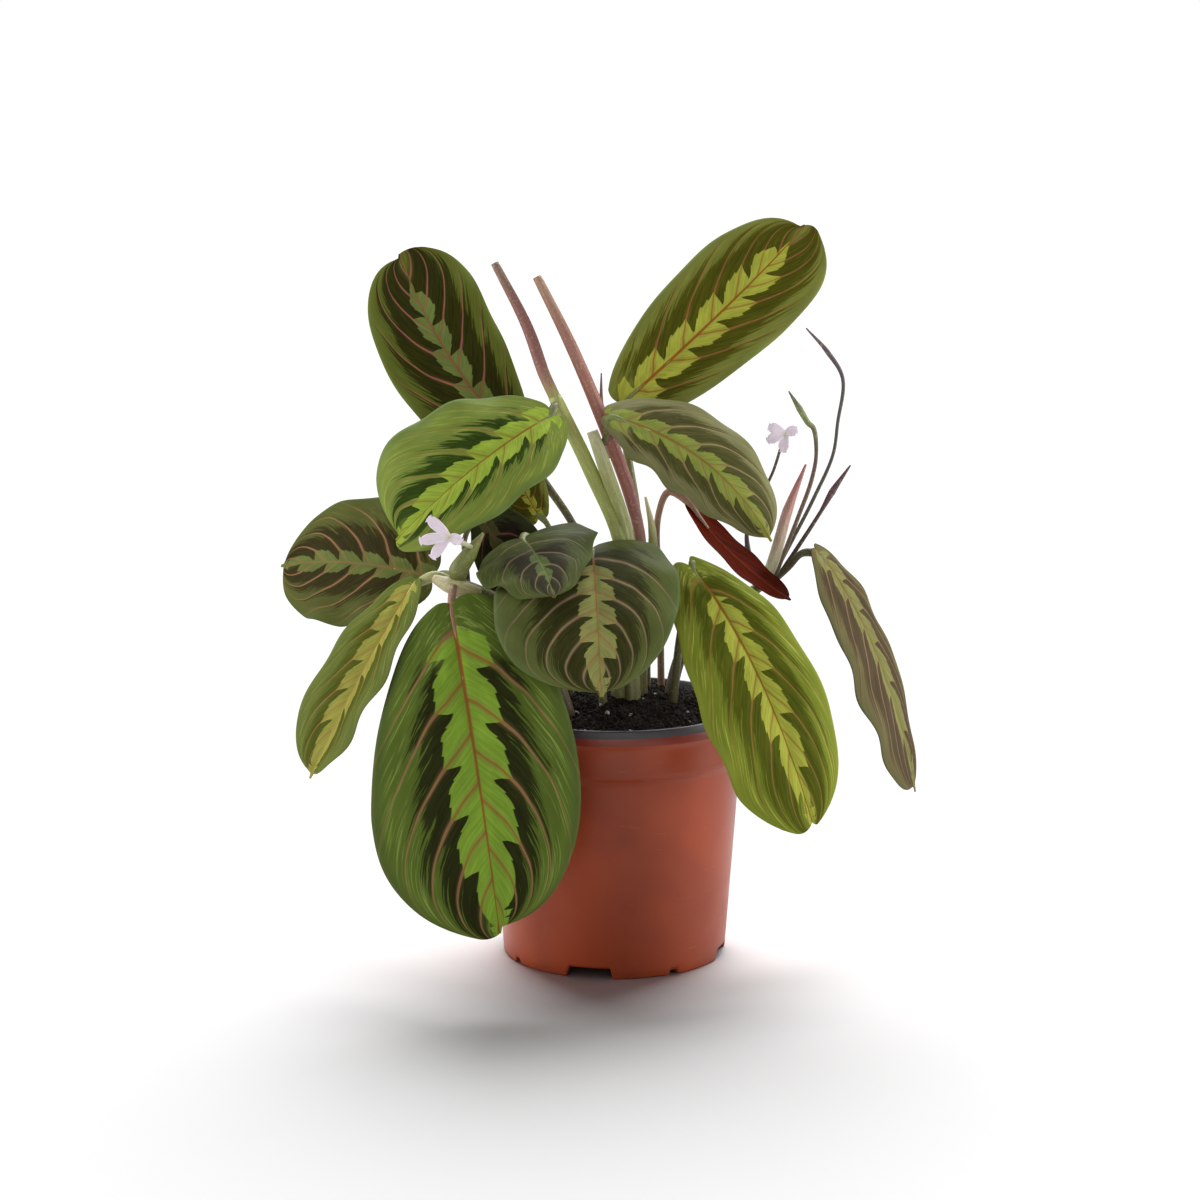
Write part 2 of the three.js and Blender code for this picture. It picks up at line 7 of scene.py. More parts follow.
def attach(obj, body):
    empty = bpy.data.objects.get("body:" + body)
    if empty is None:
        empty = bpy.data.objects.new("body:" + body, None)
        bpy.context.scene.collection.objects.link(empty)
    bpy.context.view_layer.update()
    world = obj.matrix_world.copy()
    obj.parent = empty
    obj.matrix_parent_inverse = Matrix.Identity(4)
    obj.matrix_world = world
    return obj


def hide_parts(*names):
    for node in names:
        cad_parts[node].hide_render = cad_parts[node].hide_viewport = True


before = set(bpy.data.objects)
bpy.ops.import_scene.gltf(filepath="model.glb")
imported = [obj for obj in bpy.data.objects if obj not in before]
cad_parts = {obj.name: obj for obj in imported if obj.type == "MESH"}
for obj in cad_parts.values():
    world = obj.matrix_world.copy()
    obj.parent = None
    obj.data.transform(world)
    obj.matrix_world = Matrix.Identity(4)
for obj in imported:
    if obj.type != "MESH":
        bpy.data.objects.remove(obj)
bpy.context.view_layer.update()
print("frame loaded")


# numbers, names and meshes used all over the plant

def limit(value):
    return max(0.0, min(1.0, value))


def hue(code):
    # a hex colour as Blender's linear colour
    parts = [int(code[i:i + 2], 16) / 255 for i in (0, 2, 4)]
    linear = [c / 12.92 if c <= 0.04045 else ((c + 0.055) / 1.055) ** 2.4 for c in parts]
    return (*linear, 1.0)


def hues(codes):
    return [hue(code) for code in codes.split()]


def pieceName(node):
    # leafUpperLeft dresses the frame's leaf_upper_left
    first, *rest = node.split("_")
    return first + "".join(word.capitalize() for word in rest)


def newParts():
    return {"verts": [], "faces": [], "slots": [], "place": [], "tint": []}


def addPoint(parts, point, place=(0, 0, 0), tint=(1, 1, 1, 1)):
    parts["verts"].append(tuple(point))
    parts["place"].append(tuple(place))
    parts["tint"].append(tuple(tint))
    return len(parts["verts"]) - 1


def addFace(parts, corners, slot, flip=False):
    parts["faces"].append(corners[::-1] if flip else corners)
    parts["slots"].append(slot)


def addSheet(parts, grid, slot, flip=False, closed=False):
    # quads between the rows of point numbers in grid
    for low, high in zip(grid, grid[1:]):
        wide = len(low)
        for j in range(wide if closed else wide - 1):
            k = (j + 1) % wide
            addFace(parts, (low[j], low[k], high[k], high[j]), slot, flip)


def closeRing(parts, ring, hub, slot, flip=False):
    for near, far in zip(ring, ring[1:] + ring[:1]):
        addFace(parts, (near, far, hub), slot, flip)


def addObject(name, data):
    thing = bpy.data.objects.new(name, data)
    bpy.context.scene.collection.objects.link(thing)
    return thing


def makeObject(name, parts, materials):
    mesh = bpy.data.meshes.new(name)
    mesh.from_pydata(parts["verts"], [], parts["faces"])
    for material in materials:
        mesh.materials.append(material)
    mesh.polygons.foreach_set("material_index", parts["slots"])
    mesh.polygons.foreach_set("use_smooth", [True] * len(mesh.polygons))
    for key, kind, values in (("place", "FLOAT_VECTOR", "vector"), ("tint", "FLOAT_COLOR", "color")):
        layer = mesh.attributes.new(key, kind, "POINT")
        layer.data.foreach_set(values, [number for row in parts[key] for number in row])
    mesh.update()
    return addObject(name, mesh)


def finishPiece(thing, slotName, *nodes):
    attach(thing, "root")
    if nodes:
        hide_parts(*nodes)


def dress(node, slotName, parts, *materials):
    finishPiece(makeObject(pieceName(node), parts, materials), slotName, node)


# node helpers, which all add to the tree on the desk

desk = {"tree": None}


def newNode(kind):
    return desk["tree"].nodes.new(kind)


def plug(value, socket):
    if isinstance(value, bpy.types.NodeSocket):
        desk["tree"].links.new(value, socket)
    else:
        socket.default_value = value


def fill(node, inputs, output=0):
    # inputs are each socket's number or name and what goes in
    for socket, value in dict(inputs).items():
        plug(value, node.inputs[socket])
    return node.outputs[output]


def calc(operation, *values):
    node = newNode("ShaderNodeMath")
    node.operation = operation
    return fill(node, enumerate(values))


def times(first, *others):
    for other in others:
        first = calc("MULTIPLY", first, other)
    return first


def plus(first, *others):
    for other in others:
        first = calc("ADD", first, other)
    return first


def minus(first, second):
    return calc("SUBTRACT", first, second)


def ramp(value, low, high, start=0.0, end=1.0):
    node = newNode("ShaderNodeMapRange")
    node.interpolation_type = "SMOOTHSTEP"
    return fill(node, enumerate((value, low, high, start, end)))


def blend(factor, first, second, mode="MIX"):
    node = newNode("ShaderNodeMix")
    node.data_type = "RGBA"
    node.blend_type = mode
    return fill(node, {0: factor, 6: first, 7: second}, 2)      # the sockets for colour are 6 and 7, and 2


def speckle(vector, scale, detail=2.0, roughness=0.5):
    inputs = {"Vector": vector, "Scale": scale, "Detail": detail, "Roughness": roughness}
    return fill(newNode("ShaderNodeTexNoise"), inputs)


def joinXYZ(x, y, z):
    return fill(newNode("ShaderNodeCombineXYZ"), enumerate((x, y, z)))


def splitXYZ(vector):
    node = newNode("ShaderNodeSeparateXYZ")
    plug(vector, node.inputs[0])
    return node.outputs


def attribute(name, output="Vector"):
    node = newNode("ShaderNodeAttribute")
    node.attribute_name = name
    return node.outputs[output]


def objectPlace():
    return newNode("ShaderNodeTexCoord").outputs["Object"]


def newGroup(name, kind, inputs, outputs):
    # inputs and outputs are each socket's name and kind
    tree = bpy.data.node_groups.new(name, kind)
    for direction, sockets in (("INPUT", inputs), ("OUTPUT", outputs)):
        for label, socketKind in sockets.items():
            tree.interface.new_socket(label, in_out=direction, socket_type="NodeSocket" + socketKind)
    desk["tree"] = tree
    return tree, newNode("NodeGroupInput").outputs, newNode("NodeGroupOutput").inputs


def newMaterial(name, roughness, specular):
    # the new material's tree goes on the desk
    material = bpy.data.materials.new(name)
    material.use_nodes = True
    desk["tree"] = material.node_tree
    shader = material.node_tree.nodes["Principled BSDF"]
    shader.inputs["Roughness"].default_value = roughness
    shader.inputs["Specular IOR Level"].default_value = specular
    return material, shader


def finishMaterial(shader, colour, height, strength, depth):
    plug(colour, shader.inputs["Base Color"])
    inputs = {"Strength": strength, "Distance": depth, "Height": height}
    plug(fill(newNode("ShaderNodeBump"), inputs), shader.inputs["Normal"])


# camera and light

cameraSettings = {"place": (-0.0066, -1.3, 0.4), "pitch": 10.3, "lens": 87.0, "sensor": 36}
lightSettings = {
    "world": 0.12, "backdrop": 1.0, "floor": "f3f3f3", "floorHalf": 8,
    "overhead": {"from": (0.1, 0.85, 0.9), "strength": 4.7, "softness": 63},
    "left": {"place": (-1.3, 0.0, 0.6), "aim": (0, 0, 0.15), "size": 0.9, "power": 16},
    "right": {"place": (1.3, 0.05, 0.5), "aim": (0, 0, 0.12), "size": 0.9, "power": 18},
    "front": {"place": (0.0, -2.2, 0.7), "aim": (0, 0, 0.15), "size": 1.2, "power": 12},
}

camera = addObject("camera", bpy.data.cameras.new("camera"))
camera.data.lens = cameraSettings["lens"]
camera.data.sensor_width = cameraSettings["sensor"]
camera.location = cameraSettings["place"]
camera.rotation_euler = (math.radians(90 - cameraSettings["pitch"]), 0, 0)
bpy.context.scene.camera = camera

# the world is white to the camera and dim to the plant
world = bpy.data.worlds.new("studio")
world.use_nodes = True
desk["tree"] = world.node_tree
seen = newNode("ShaderNodeLightPath").outputs["Is Camera Ray"]
strengths = {"Value": seen, "To Min": lightSettings["world"], "To Max": lightSettings["backdrop"]}
backdrop = world.node_tree.nodes["Background"]
plug((1, 1, 1, 1), backdrop.inputs["Color"])
plug(fill(newNode("ShaderNodeMapRange"), strengths), backdrop.inputs["Strength"])
bpy.context.scene.world = world
bpy.context.scene.view_settings.view_transform = "Standard"


def addLamp(name, kind, place, away):
    lamp = addObject(name, bpy.data.lights.new(name, kind))
    lamp.location = place
    lamp.rotation_euler = away.to_track_quat("Z", "Y").to_euler()
    return lamp


overhead = addLamp("overhead", "SUN", (0, 0, 2), Vector(lightSettings["overhead"]["from"]))
overhead.data.energy = lightSettings["overhead"]["strength"]
overhead.data.angle = math.radians(lightSettings["overhead"]["softness"])

fills = []
for name in ("left", "right", "front"):
    settings = lightSettings[name]
    away = Vector(settings["place"]) - Vector(settings["aim"])
    lamp = addLamp(name, "AREA", settings["place"], away)
    lamp.data.size = settings["size"]
    lamp.data.energy = settings["power"]
    fills.append(lamp)

floorParts = newParts()
floorEnds = (-lightSettings["floorHalf"], lightSettings["floorHalf"])
addSheet(floorParts, [[addPoint(floorParts, (x, y, 0)) for x in floorEnds] for y in floorEnds], 0)
floorMaterial, floorShader = newMaterial("paleFloor", 0.9, 0.1)
floorShade = ramp(speckle(objectPlace(), 3.0), 0.2, 0.8, 0.99, 1.0)
floorColour = blend(1.0, hue(lightSettings["floor"]), floorShade, "MULTIPLY")
plug(floorColour, floorShader.inputs["Base Color"])
floor = makeObject("floor", floorParts, [floorMaterial])

# the three fill lamps leave the floor out, so that the overhead light's shadow stays clear on it
unlit = bpy.data.collections.new("withoutFill")
unlit.objects.link(floor)
for lamp in fills:
    lamp.light_linking.receiver_collection = unlit
unlit.collection_objects[0].light_linking.link_state = "EXCLUDE"
print("camera, light and floor")


# leaf blades

bladeLook = {
    "thickness": 0.0005, "rows": 84, "columns": 24,
    "sweep": (0.25, 0.33), "spread": 1.6,      # how side veins bend forward and part on the way out
    "puff": 0.0004, "usualWidth": 0.08,        # the swelling between two side veins, on a leaf of this width
    "tipWidth": 0.0007, "tipStart": 0.975, "tipFlare": 0.04, "flareStart": 0.93,
    "lobeShare": 0.35, "lobeRound": 0.7,       # the part of the length that a lobe takes, and its form
    "wave": {"share": 0.04, "count": 3, "phases": (2.6, 1.0)},
    "rippleFade": 0.15, "ripplePhase": 1.7,
}

# Colours and pattern of the upper side. The colours are the light middle, the dark blotches, the field
# between them and the margin, its streaks, the margin, the side veins, and the veins in the middle. veins
# are the side veins of the left and right half and shift slides them along; centre is the reach of the
# light middle as a share of the leaf's length, at the narrow and the wide end of each step, lean how far
# the steps tilt forward and span where it starts and ends; start is where the dark blotches start, reach
# how far out they go and gap how far they stay off the side veins.
leafLooks = {
    "vivid": {
        "slot": "leaf_green", "colours": "7c9c34 282b10 546526 819448 4d5a2b 8c6a48 8c5428",
        "veins": (6.7, 6.7), "shift": (0.15, 0.5), "centre": (0.045, 0.052), "lean": 0.12,
        "span": (0, 1.08), "start": 0.16, "reach": 0.55, "veinWidth": 0.0105,
    },
    "dark": {
        "slot": "leaf_dark", "colours": "6b793d 2e2e0b 5a6123 687234 657031 96604e 8c5a3c",
        "veins": (6.6, 6.2), "shift": (0.2, 0.7), "centre": (0.006, 0.055), "lean": 0.12,
        "span": (0.02, 0.88), "start": 0.1, "reach": 0.7, "veinWidth": 0.008,
    },
    "golden": {
        "slot": "leaf_green", "colours": "a9ad42 4d4d12 757935 8a9345 757d40 92623c 96501f",
        "veins": (7.5, 7.5), "shift": (0.1, 0.6), "centre": (0.016, 0.056), "lean": 0.25,
        "span": (-0.1, 0.9), "start": 0.05, "reach": 0.7, "veinWidth": 0.0075,
    },
    "bright": {
        "slot": "leaf_bright", "colours": "94aa3e 304113 718137 919c4a 67783f 88703a 8f6026",
        "veins": (6, 6), "shift": (0.1, 0.5), "centre": (0.03, 0.062), "lean": 0.3, "span": (-0.1, 1.2),
        "start": 0.12, "reach": 0.46, "gap": 0.12, "veinWidth": 0.006,
    },
    "grey": {
        "slot": "leaf_grey", "colours": "889243 4c4b27 75734d 81845a 75774d 93805c 8a6a36",
        "veins": (7, 7), "shift": (0.3, 0.6), "centre": (0.018, 0.05), "lean": 0.2, "span": (-0.1, 1.1),
        "start": 0.1, "reach": 0.62, "veinWidth": 0.0085,
    },
    "brown": {
        "slot": "leaf_dark", "colours": "5f6834 2e290a 4d5023 5b6031 4d5628 8c6648 7c6438",
        "veins": (6.5, 6.5), "shift": (0.2, 0.6), "centre": (0.01, 0.05), "lean": 0.2,
        "span": (-0.1, 1.1), "start": 0.06, "reach": 0.55, "veinWidth": 0.0085,
    },
    "pale": {
        "slot": "leaf_bright", "colours": "8e8c3f 4a4f12 576328 7a7f41 616a32 8e6838 947038",
        "veins": (7, 7), "shift": (0.2, 0.6), "centre": (0.024, 0.06), "lean": 0.3, "span": (-0.1, 1.2),
        "start": 0.1, "reach": 0.55, "gap": 0.04, "veinWidth": 0.0065,
    },
    "slate": {
        "slot": "leaf_grey", "colours": "566433 2b2816 444b24 5c653c 475228 7c6a50 70784a",
        "veins": (5.4, 5.4), "shift": (0.2, 0.6), "centre": (0.012, 0.05), "lean": 0.1,
        "span": (0.3, 0.85), "start": 0.3, "reach": 0.5, "veinWidth": 0.009,
    },
    # painted shade: the shaded look's colours are darker than the other looks', for the leaf that lies in
    # the shade under leaf_centre_small
    "shaded": {
        "slot": "leaf_dark", "colours": "4a4a28 201a12 30341c 3e4224 363c20 6e4638 5e4630",
        "veins": (6, 6), "shift": (0.2, 0.6), "centre": (0.02, 0.04), "lean": 0.3, "span": (-0.1, 1.1),
        "start": 0.1, "reach": 0.7, "veinWidth": 0.009,
    },
    "heart": {
        "slot": "leaf_grey", "colours": "8c8d51 363719 555c2f 5c6539 556037 8c765a 9a6c3e",
        "veins": (7.4, 7.4), "shift": (0.1, 0.3), "centre": (0.024, 0.075), "lean": 0.1,
        "span": (0.15, 1.08), "start": 0.05, "reach": 0.62, "veinWidth": 0.0105,
    },
    "lime": {
        "slot": "leaf_bright", "colours": "9fa33f 4c5212 707b26 b0b256 7e8830 866a34 825820",
        "veins": (7, 7), "shift": (0.1, 0.55), "centre": (0.016, 0.048), "lean": 0.2, "span": (0.1, 1.1),
        "start": 0.08, "reach": 0.6, "veinWidth": 0.008,
    },
    "purple": {
        "slot": "leaf_grey", "colours": "777644 483c28 615938 6d6743 535436 806850 746034",
        "veins": (7.5, 7.5), "shift": (0.2, 0.6), "centre": (0.014, 0.038), "lean": 0.2,
        "span": (-0.1, 1.1), "start": 0.05, "reach": 0.72, "veinWidth": 0.0075,
    },
}
undersideLook = {"tissue": "4c1208", "greenish": "40260a", "rib": "602c16", "veins": 7.0, "shift": 0.4}

# The form of each leaf. Pairs of values are for the left and right half, seen from above with the tip
# away: half is the widest reach from the midrib and widest its place, neck and endNeck the share of it
# left at the two ends, shoulder and roundness the curve towards them, lobe and endLobe how far the ends
# reach past the midrib's, fold and curl in degrees, ripple the height and number of small waves along
# the margin. petiole is x, y, z and radius along the leaf's stalk. What a leaf leaves out is in leafBasics.
leafBasics = {
    "roundness": (2.3, 2.3), "shoulder": (2, 2), "lobe": (0.002, 0.002), "endNeck": (0, 0),
    "endLobe": (0, 0), "fold": (8, 8), "curl": (-20, -20), "ripple": (0, 0), "stalk": "plain",
}
leaves = {
    "leaf_upper_left": {
        "look": "dark", "stalk": "dark", "base": (-0.046, 0.025, 0.234), "tip": (-0.101, 0.075, 0.316),
        "bow": (-0.006, -0.004, 0), "face": (0.2, -0.9, 0.4), "half": (0.03, 0.028),
        "widest": (0.4, 0.68), "roundness": (2.4, 3), "neck": (0.75, 0.3), "endNeck": (0, 0.4),
        "endLobe": (0, 0.0015), "curl": (-15, 5),
        "petiole": [
            (-0.008, 0.007, 0.098, 0.002), (-0.008, 0.008, 0.15, 0.0019), (-0.016, 0.014, 0.19, 0.0018),
            (-0.033, 0.022, 0.216, 0.0017),
        ],
    },
    "leaf_upper_right": {
        "look": "golden", "base": (0.004, 0.015, 0.252), "tip": (0.088, 0.045, 0.331),
        "bow": (0.008, 0.006, 0.005), "face": (-0.1, -0.95, 0.3), "half": (0.028, 0.027),
        "widest": (0.5, 0.62), "roundness": (2, 2.6), "neck": (0.35, 0.5), "endNeck": (0, 0.3),
        "endLobe": (0, 0.002),
        "petiole": [
            (0.015, 0.006, 0.098, 0.002), (0.014, 0.006, 0.16, 0.0019), (0.01, 0.009, 0.205, 0.0018),
            (0.005, 0.013, 0.238, 0.0017),
        ],
    },
    "leaf_mid_left": {
        "look": "bright", "base": (-0.028, -0.015, 0.25), "tip": (-0.096, -0.042, 0.198),
        "bow": (0.001, -0.008, 0.006), "face": (-0.1, -0.8, 0.6), "half": (0.026, 0.039),
        "widest": (0.38, 0.7), "roundness": (2.3, 2.8), "neck": (0.4, 0.3), "lobe": (0.003, 0.002),
        "endNeck": (0.3, 0), "endLobe": (0.0015, 0), "ripple": (0.0013, 3),
        "petiole": [(-0.027, -0.002, 0.253, 0.0018), (-0.027, -0.009, 0.253, 0.0019)],
    },
    "leaf_mid_right": {
        "look": "grey", "base": (-0.004, -0.012, 0.25), "tip": (0.07, -0.02, 0.194),
        "bow": (0.006, -0.008, 0.009), "face": (0.1, -0.8, 0.6), "half": (0.028, 0.022),
        "widest": (0.45, 0.5), "neck": (0.3, 0.3), "fold": (2, -50), "curl": (-35, -15),
        "ripple": (0.0016, 3.5),
        "petiole": [(-0.005, -0.006, 0.236, 0.0014), (-0.003, -0.0095, 0.244, 0.0015)],
    },
    "leaf_far_left": {
        "look": "brown", "base": (-0.083, -0.015, 0.177), "tip": (-0.157, 0.05, 0.171),
        "bow": (-0.001, -0.006, 0.005), "face": (-0.5, -0.7, 0.4), "half": (0.03, 0.033),
        "widest": (0.5, 0.42), "roundness": (2.4, 2.3), "neck": (0.4, 0.4), "lobe": (0.003, 0.003),
        "ripple": (0.001, 3.5),
        "petiole": [(-0.0695, -0.035, 0.1785, 0.0014), (-0.074, -0.025, 0.18, 0.0015)],
    },
    "leaf_lower_left": {
        "look": "pale", "stalk": "creamy", "base": (-0.088, -0.035, 0.179), "tip": (-0.134, -0.06, 0.095),
        "bow": (-0.001, -0.004, 0.002), "face": (-0.65, -0.5, 0.5), "half": (0.024, 0.026),
        "widest": (0.5, 0.65), "roundness": (2.3, 2.8), "neck": (0.2, 0.2), "lobe": (0.001, 0.001),
        "fold": (20, 20), "ripple": (0.0007, 3.5),
        "petiole": [(-0.071, -0.037, 0.178, 0.002), (-0.079, -0.036, 0.181, 0.0021)],
    },
    "leaf_front_large": {
        "look": "vivid", "stalk": "pink", "base": (-0.072, -0.055, 0.172), "tip": (-0.05, -0.092, 0.034),
        "bow": (0.002, -0.0154, 0.001), "face": (0, -0.95, 0.3), "half": (0.044, 0.049),
        "widest": (0.48, 0.6), "roundness": (2.2, 2.6), "neck": (0.4, 0.15), "shoulder": (2, 1.4),
        "lobe": (0.003, 0.001), "endNeck": (0, 0.25), "endLobe": (0, 0.002), "curl": (-25, -25),
        "petiole": [(-0.069, -0.038, 0.176, 0.0014), (-0.071, -0.047, 0.177, 0.0014)],
    },
    "leaf_centre_small": {
        "look": "slate", "base": (-0.041, -0.025, 0.196), "tip": (-0.026, -0.085, 0.18),
        "bow": (0.001, 0, 0.002), "face": (-0.13, -0.4, 0.88), "half": (0.031, 0.029),
        "widest": (0.24, 0.38), "roundness": (0.9, 1.1), "neck": (0.84, 0.5), "curl": (-20, -30),
        "ripple": (0.001, 3),
        "petiole": [
            (-0.021, -0.011, 0.098, 0.0018), (-0.023, -0.01, 0.15, 0.0017),
            (-0.033, -0.011, 0.187, 0.0016), (-0.04, -0.018, 0.196, 0.0016),
        ],
    },
    "leaf_centre_shaded": {
        "look": "shaded", "stalk": "dark", "base": (-0.059, -0.015, 0.203), "tip": (-0.04, 0.005, 0.15),
        "bow": (0.003, 0, 0), "face": (0.1, -0.9, 0.4), "half": (0.02, 0.014), "widest": (0.4, 0.4),
        "neck": (0.5, 0.5), "lobe": (0.003, 0.003),
        "petiole": [
            (-0.065, -0.036, 0.176, 0.0013), (-0.066, -0.031, 0.186, 0.0012),
            (-0.067, -0.025, 0.195, 0.0012), (-0.063, -0.018, 0.203, 0.0013),
        ],
    },
    "leaf_centre_heart": {
        "look": "heart", "base": (-0.01, -0.025, 0.192), "tip": (-0.006, -0.09, 0.138),
        "bow": (0, -0.012, 0.008), "face": (0, -0.6, 0.8), "half": (0.037, 0.045), "widest": (0.34, 0.45),
        "roundness": (1.9, 2.8), "neck": (0.8, 0.6), "lobe": (0.006, 0.005), "curl": (-20, -25),
        "petiole": [
            (-0.005, -0.025, 0.098, 0.0019), (-0.006, -0.024, 0.15, 0.0018),
            (-0.009, -0.02, 0.184, 0.0018),
        ],
    },
    "leaf_right_front": {
        "look": "lime", "base": (0.034, -0.03, 0.184), "tip": (0.086, -0.07, 0.078),
        "bow": (0.002, -0.012, 0.011), "face": (0.3, -0.8, 0.4), "half": (0.0275, 0.033),
        "widest": (0.62, 0.65), "roundness": (2.4, 2.6), "neck": (0.25, 0.3), "shoulder": (2, 1.7),
        "lobe": (0.006, 0.005), "endNeck": (0.15, 0.35), "endLobe": (0.002, 0.003), "ripple": (0.0009, 4),
        "petiole": [
            (0.025, -0.016, 0.098, 0.0019), (0.029, -0.015, 0.145, 0.0019),
            (0.034, -0.017, 0.176, 0.0018), (0.035, -0.024, 0.185, 0.0018),
        ],
    },
    "leaf_right_red": {
        "look": "dark", "slot": "leaf_underside", "stalk": "pink", "base": (0.033, 0.008, 0.207),
        "tip": (0.079, -0.018, 0.167), "bow": (-0.001, 0, -0.003), "face": (-0.5, 0.35, -0.7),
        "half": (0.011, 0.013), "widest": (0.68, 0.5), "neck": (0.1, 0.3), "shoulder": (1.5, 2),
        "lobe": (0.001, 0.001),
        "petiole": [
            (0.022, 0.01, 0.098, 0.0017), (0.021, 0.012, 0.16, 0.0016), (0.02, 0.013, 0.2, 0.0015),
            (0.025, 0.011, 0.212, 0.0015),
        ],
    },
    "leaf_far_right": {
        "look": "purple", "stalk": "dark", "base": (0.091, -0.005, 0.188), "tip": (0.141, 0.02, 0.069),
        "bow": (0.004, -0.005, 0.009), "face": (0.6, -0.4, 0.5), "half": (0.02, 0.032),
        "widest": (0.55, 0.58), "neck": (0.2, 0.2), "ripple": (0.0006, 4.5),
        "petiole": [
            (0.072, 0.005, 0.171, 0.0015), (0.079, -0.001, 0.179, 0.0015), (0.085, -0.004, 0.186, 0.0015),
        ],
    },
    "leaf_back_small": {
        "look": "golden", "base": (-0.035, 0.013, 0.201), "tip": (-0.053, 0.012, 0.234),
        "bow": (0, -0.002, 0), "face": (0, -0.9, 0.3), "half": (0.014, 0.011), "widest": (0.45, 0.45),
        "neck": (0.5, 0.5), "lobe": (0.003, 0.003),
        "petiole": [
            (-0.018, 0.002, 0.098, 0.0013), (-0.019, 0.003, 0.14, 0.0012), (-0.024, 0.009, 0.18, 0.0011),
            (-0.031, 0.013, 0.197, 0.0011),
        ],
    },
}


def halfWidth(leaf, side, s):
    keys = ("half", "widest", "neck", "endNeck", "shoulder", "roundness")
    half, widest, neck, endNeck, shoulder, roundness = (leaf[key][side] for key in keys)
    if s < widest:
        baseSpan = widest / (1 - neck ** 2) ** (1 / shoulder)
        out = limit((widest - s) / baseSpan) ** shoulder
    else:
        end = 1 if endNeck > 0 else bladeLook["tipStart"]
        endSpan = (end - widest) / (1 - endNeck ** 2) ** (1 / roundness)
        out = limit((s - widest) / endSpan) ** roundness
    point = bladeLook["tipWidth"]
    if s > bladeLook["flareStart"]:
        point += bladeLook["tipFlare"] * (1 - s)
    return max(half * math.sqrt(1 - out), point)


def midrib(leaf, s):
    base, tip = Vector(leaf["base"]), Vector(leaf["tip"])
    bend = (base + tip) / 2 + 2 * Vector(leaf["bow"])
    place = base * (1 - s) ** 2 + bend * 2 * s * (1 - s) + tip * s * s
    along = ((bend - base) * (1 - s) + (tip - bend) * s).normalized()
    face = Vector(leaf["face"]).normalized()
    up = (face - along * face.dot(along)).normalized()
    return place, along, up, along.cross(up)


def edgeRipple(leaf, side, s):
    size, count = leaf["ripple"]
    fade = limit(s / bladeLook["rippleFade"]) * limit((1 - s) / bladeLook["rippleFade"])
    return size * fade * math.sin(2 * math.pi * count * s + bladeLook["ripplePhase"] * side)


def bladePoint(leaf, s, t):
    # s runs along the midrib from base to tip, t across from the left margin (-1) to the right one (1)
    place, along, up, across = midrib(leaf, s)
    side, hand = (0, -1) if t < 0 else (1, 1)
    out = abs(t)
    ripple = edgeRipple(leaf, side, s)
    narrowed = halfWidth(leaf, side, s) - 0.5 * (leaf["ripple"][0] + ripple)
    width = max(narrowed, bladeLook["tipWidth"])
    fold = math.radians(leaf["fold"][side])
    curl = math.radians(leaf["curl"][side])
    reach = width * (math.sin(fold + curl * out) - math.sin(fold)) / curl
    rise = width * (math.cos(fold) - math.cos(fold + curl * out)) / curl
    wave = bladeLook["wave"]
    turn = 2 * math.pi * wave["count"] * s + wave["phases"][side]
    rise += wave["share"] * width * out * out * math.sin(turn) + ripple * out ** 3
    share = bladeLook["lobeShare"]
    backward = leaf["lobe"][side] * limit(1 - s / share) ** 2
    forward = leaf["endLobe"][side] * limit((s - 1 + share) / share) ** 2
    roundOff = max(math.sin(math.pi * out), 0) ** bladeLook["lobeRound"]
    return place + across * hand * reach + up * rise + along * roundOff * (forward - backward)


def bladeRelief(leaf, look, s, t):
    # the blade swells between the side veins and sinks in at the midrib
    side = 0 if t < 0 else 1
    out = abs(t)
    near, far = bladeLook["sweep"]
    sweep = near * out + far * out ** 3
    start = (s - 0.5 * sweep) / (1 + bladeLook["spread"] * sweep)
    phase = start * look["veins"][side] + look["shift"][side]      # whole numbers are side veins
    nearVein = abs((phase % 1) - 0.5) * 2
    swell = 1 - nearVein ** 3
    fade = limit((1 - out) / 0.25) * limit(start / 0.05) * limit((1 - s) / 0.1) * limit(s / 0.1)
    groove = math.exp(-(t / 0.05) ** 2) * limit((1 - s) / 0.2)
    size = sum(leaf["half"]) / bladeLook["usualWidth"]
    return bladeLook["puff"] * size * (swell * fade - 0.9 * groove)


def addBlade(parts, leaf, look, rows, columns, thickness, slots=(0, 1)):
    length = (Vector(leaf["tip"]) - Vector(leaf["base"])).length
    steps = [(1 - math.cos(math.pi * i / rows)) / 2 for i in range(rows + 1)]
    spans = [j / columns - 1 for j in range(2 * columns + 1)]
    middle = [[bladePoint(leaf, s, t) for t in spans] for s in steps]
    upper, lower = [], []
    for i, s in enumerate(steps):
        upperRow, lowerRow = [], []
        for j, t in enumerate(spans):
            lengthwise = middle[min(i + 1, rows)][j] - middle[max(i - 1, 0)][j]
            crosswise = middle[i][min(j + 1, 2 * columns)] - middle[i][max(j - 1, 0)]
            up = crosswise.cross(lengthwise).normalized()
            point = middle[i][j] + up * (bladeRelief(leaf, look, s, t) if look else 0)
            place = (s, t, halfWidth(leaf, 0 if t < 0 else 1, s) / length)
            rim = thickness / 2 * math.sqrt(max(1 - abs(t) ** 12, 0.04))    # thinner at the margin
            upperRow.append(addPoint(parts, point + up * rim, place))
            lowerRow.append(addPoint(parts, point - up * rim, place))
        upper.append(upperRow)
        lower.append(lowerRow)
    addSheet(parts, upper, slots[0])
    addSheet(parts, lower, slots[1], flip=True)
    addSheet(parts, [[row[0] for row in lower], [row[0] for row in upper]], slots[1], flip=True)
    addSheet(parts, [[row[-1] for row in upper], [row[-1] for row in lower]], slots[1], flip=True)
    addSheet(parts, [lower[0], upper[0]], slots[1])
    addSheet(parts, [upper[-1], lower[-1]], slots[1])


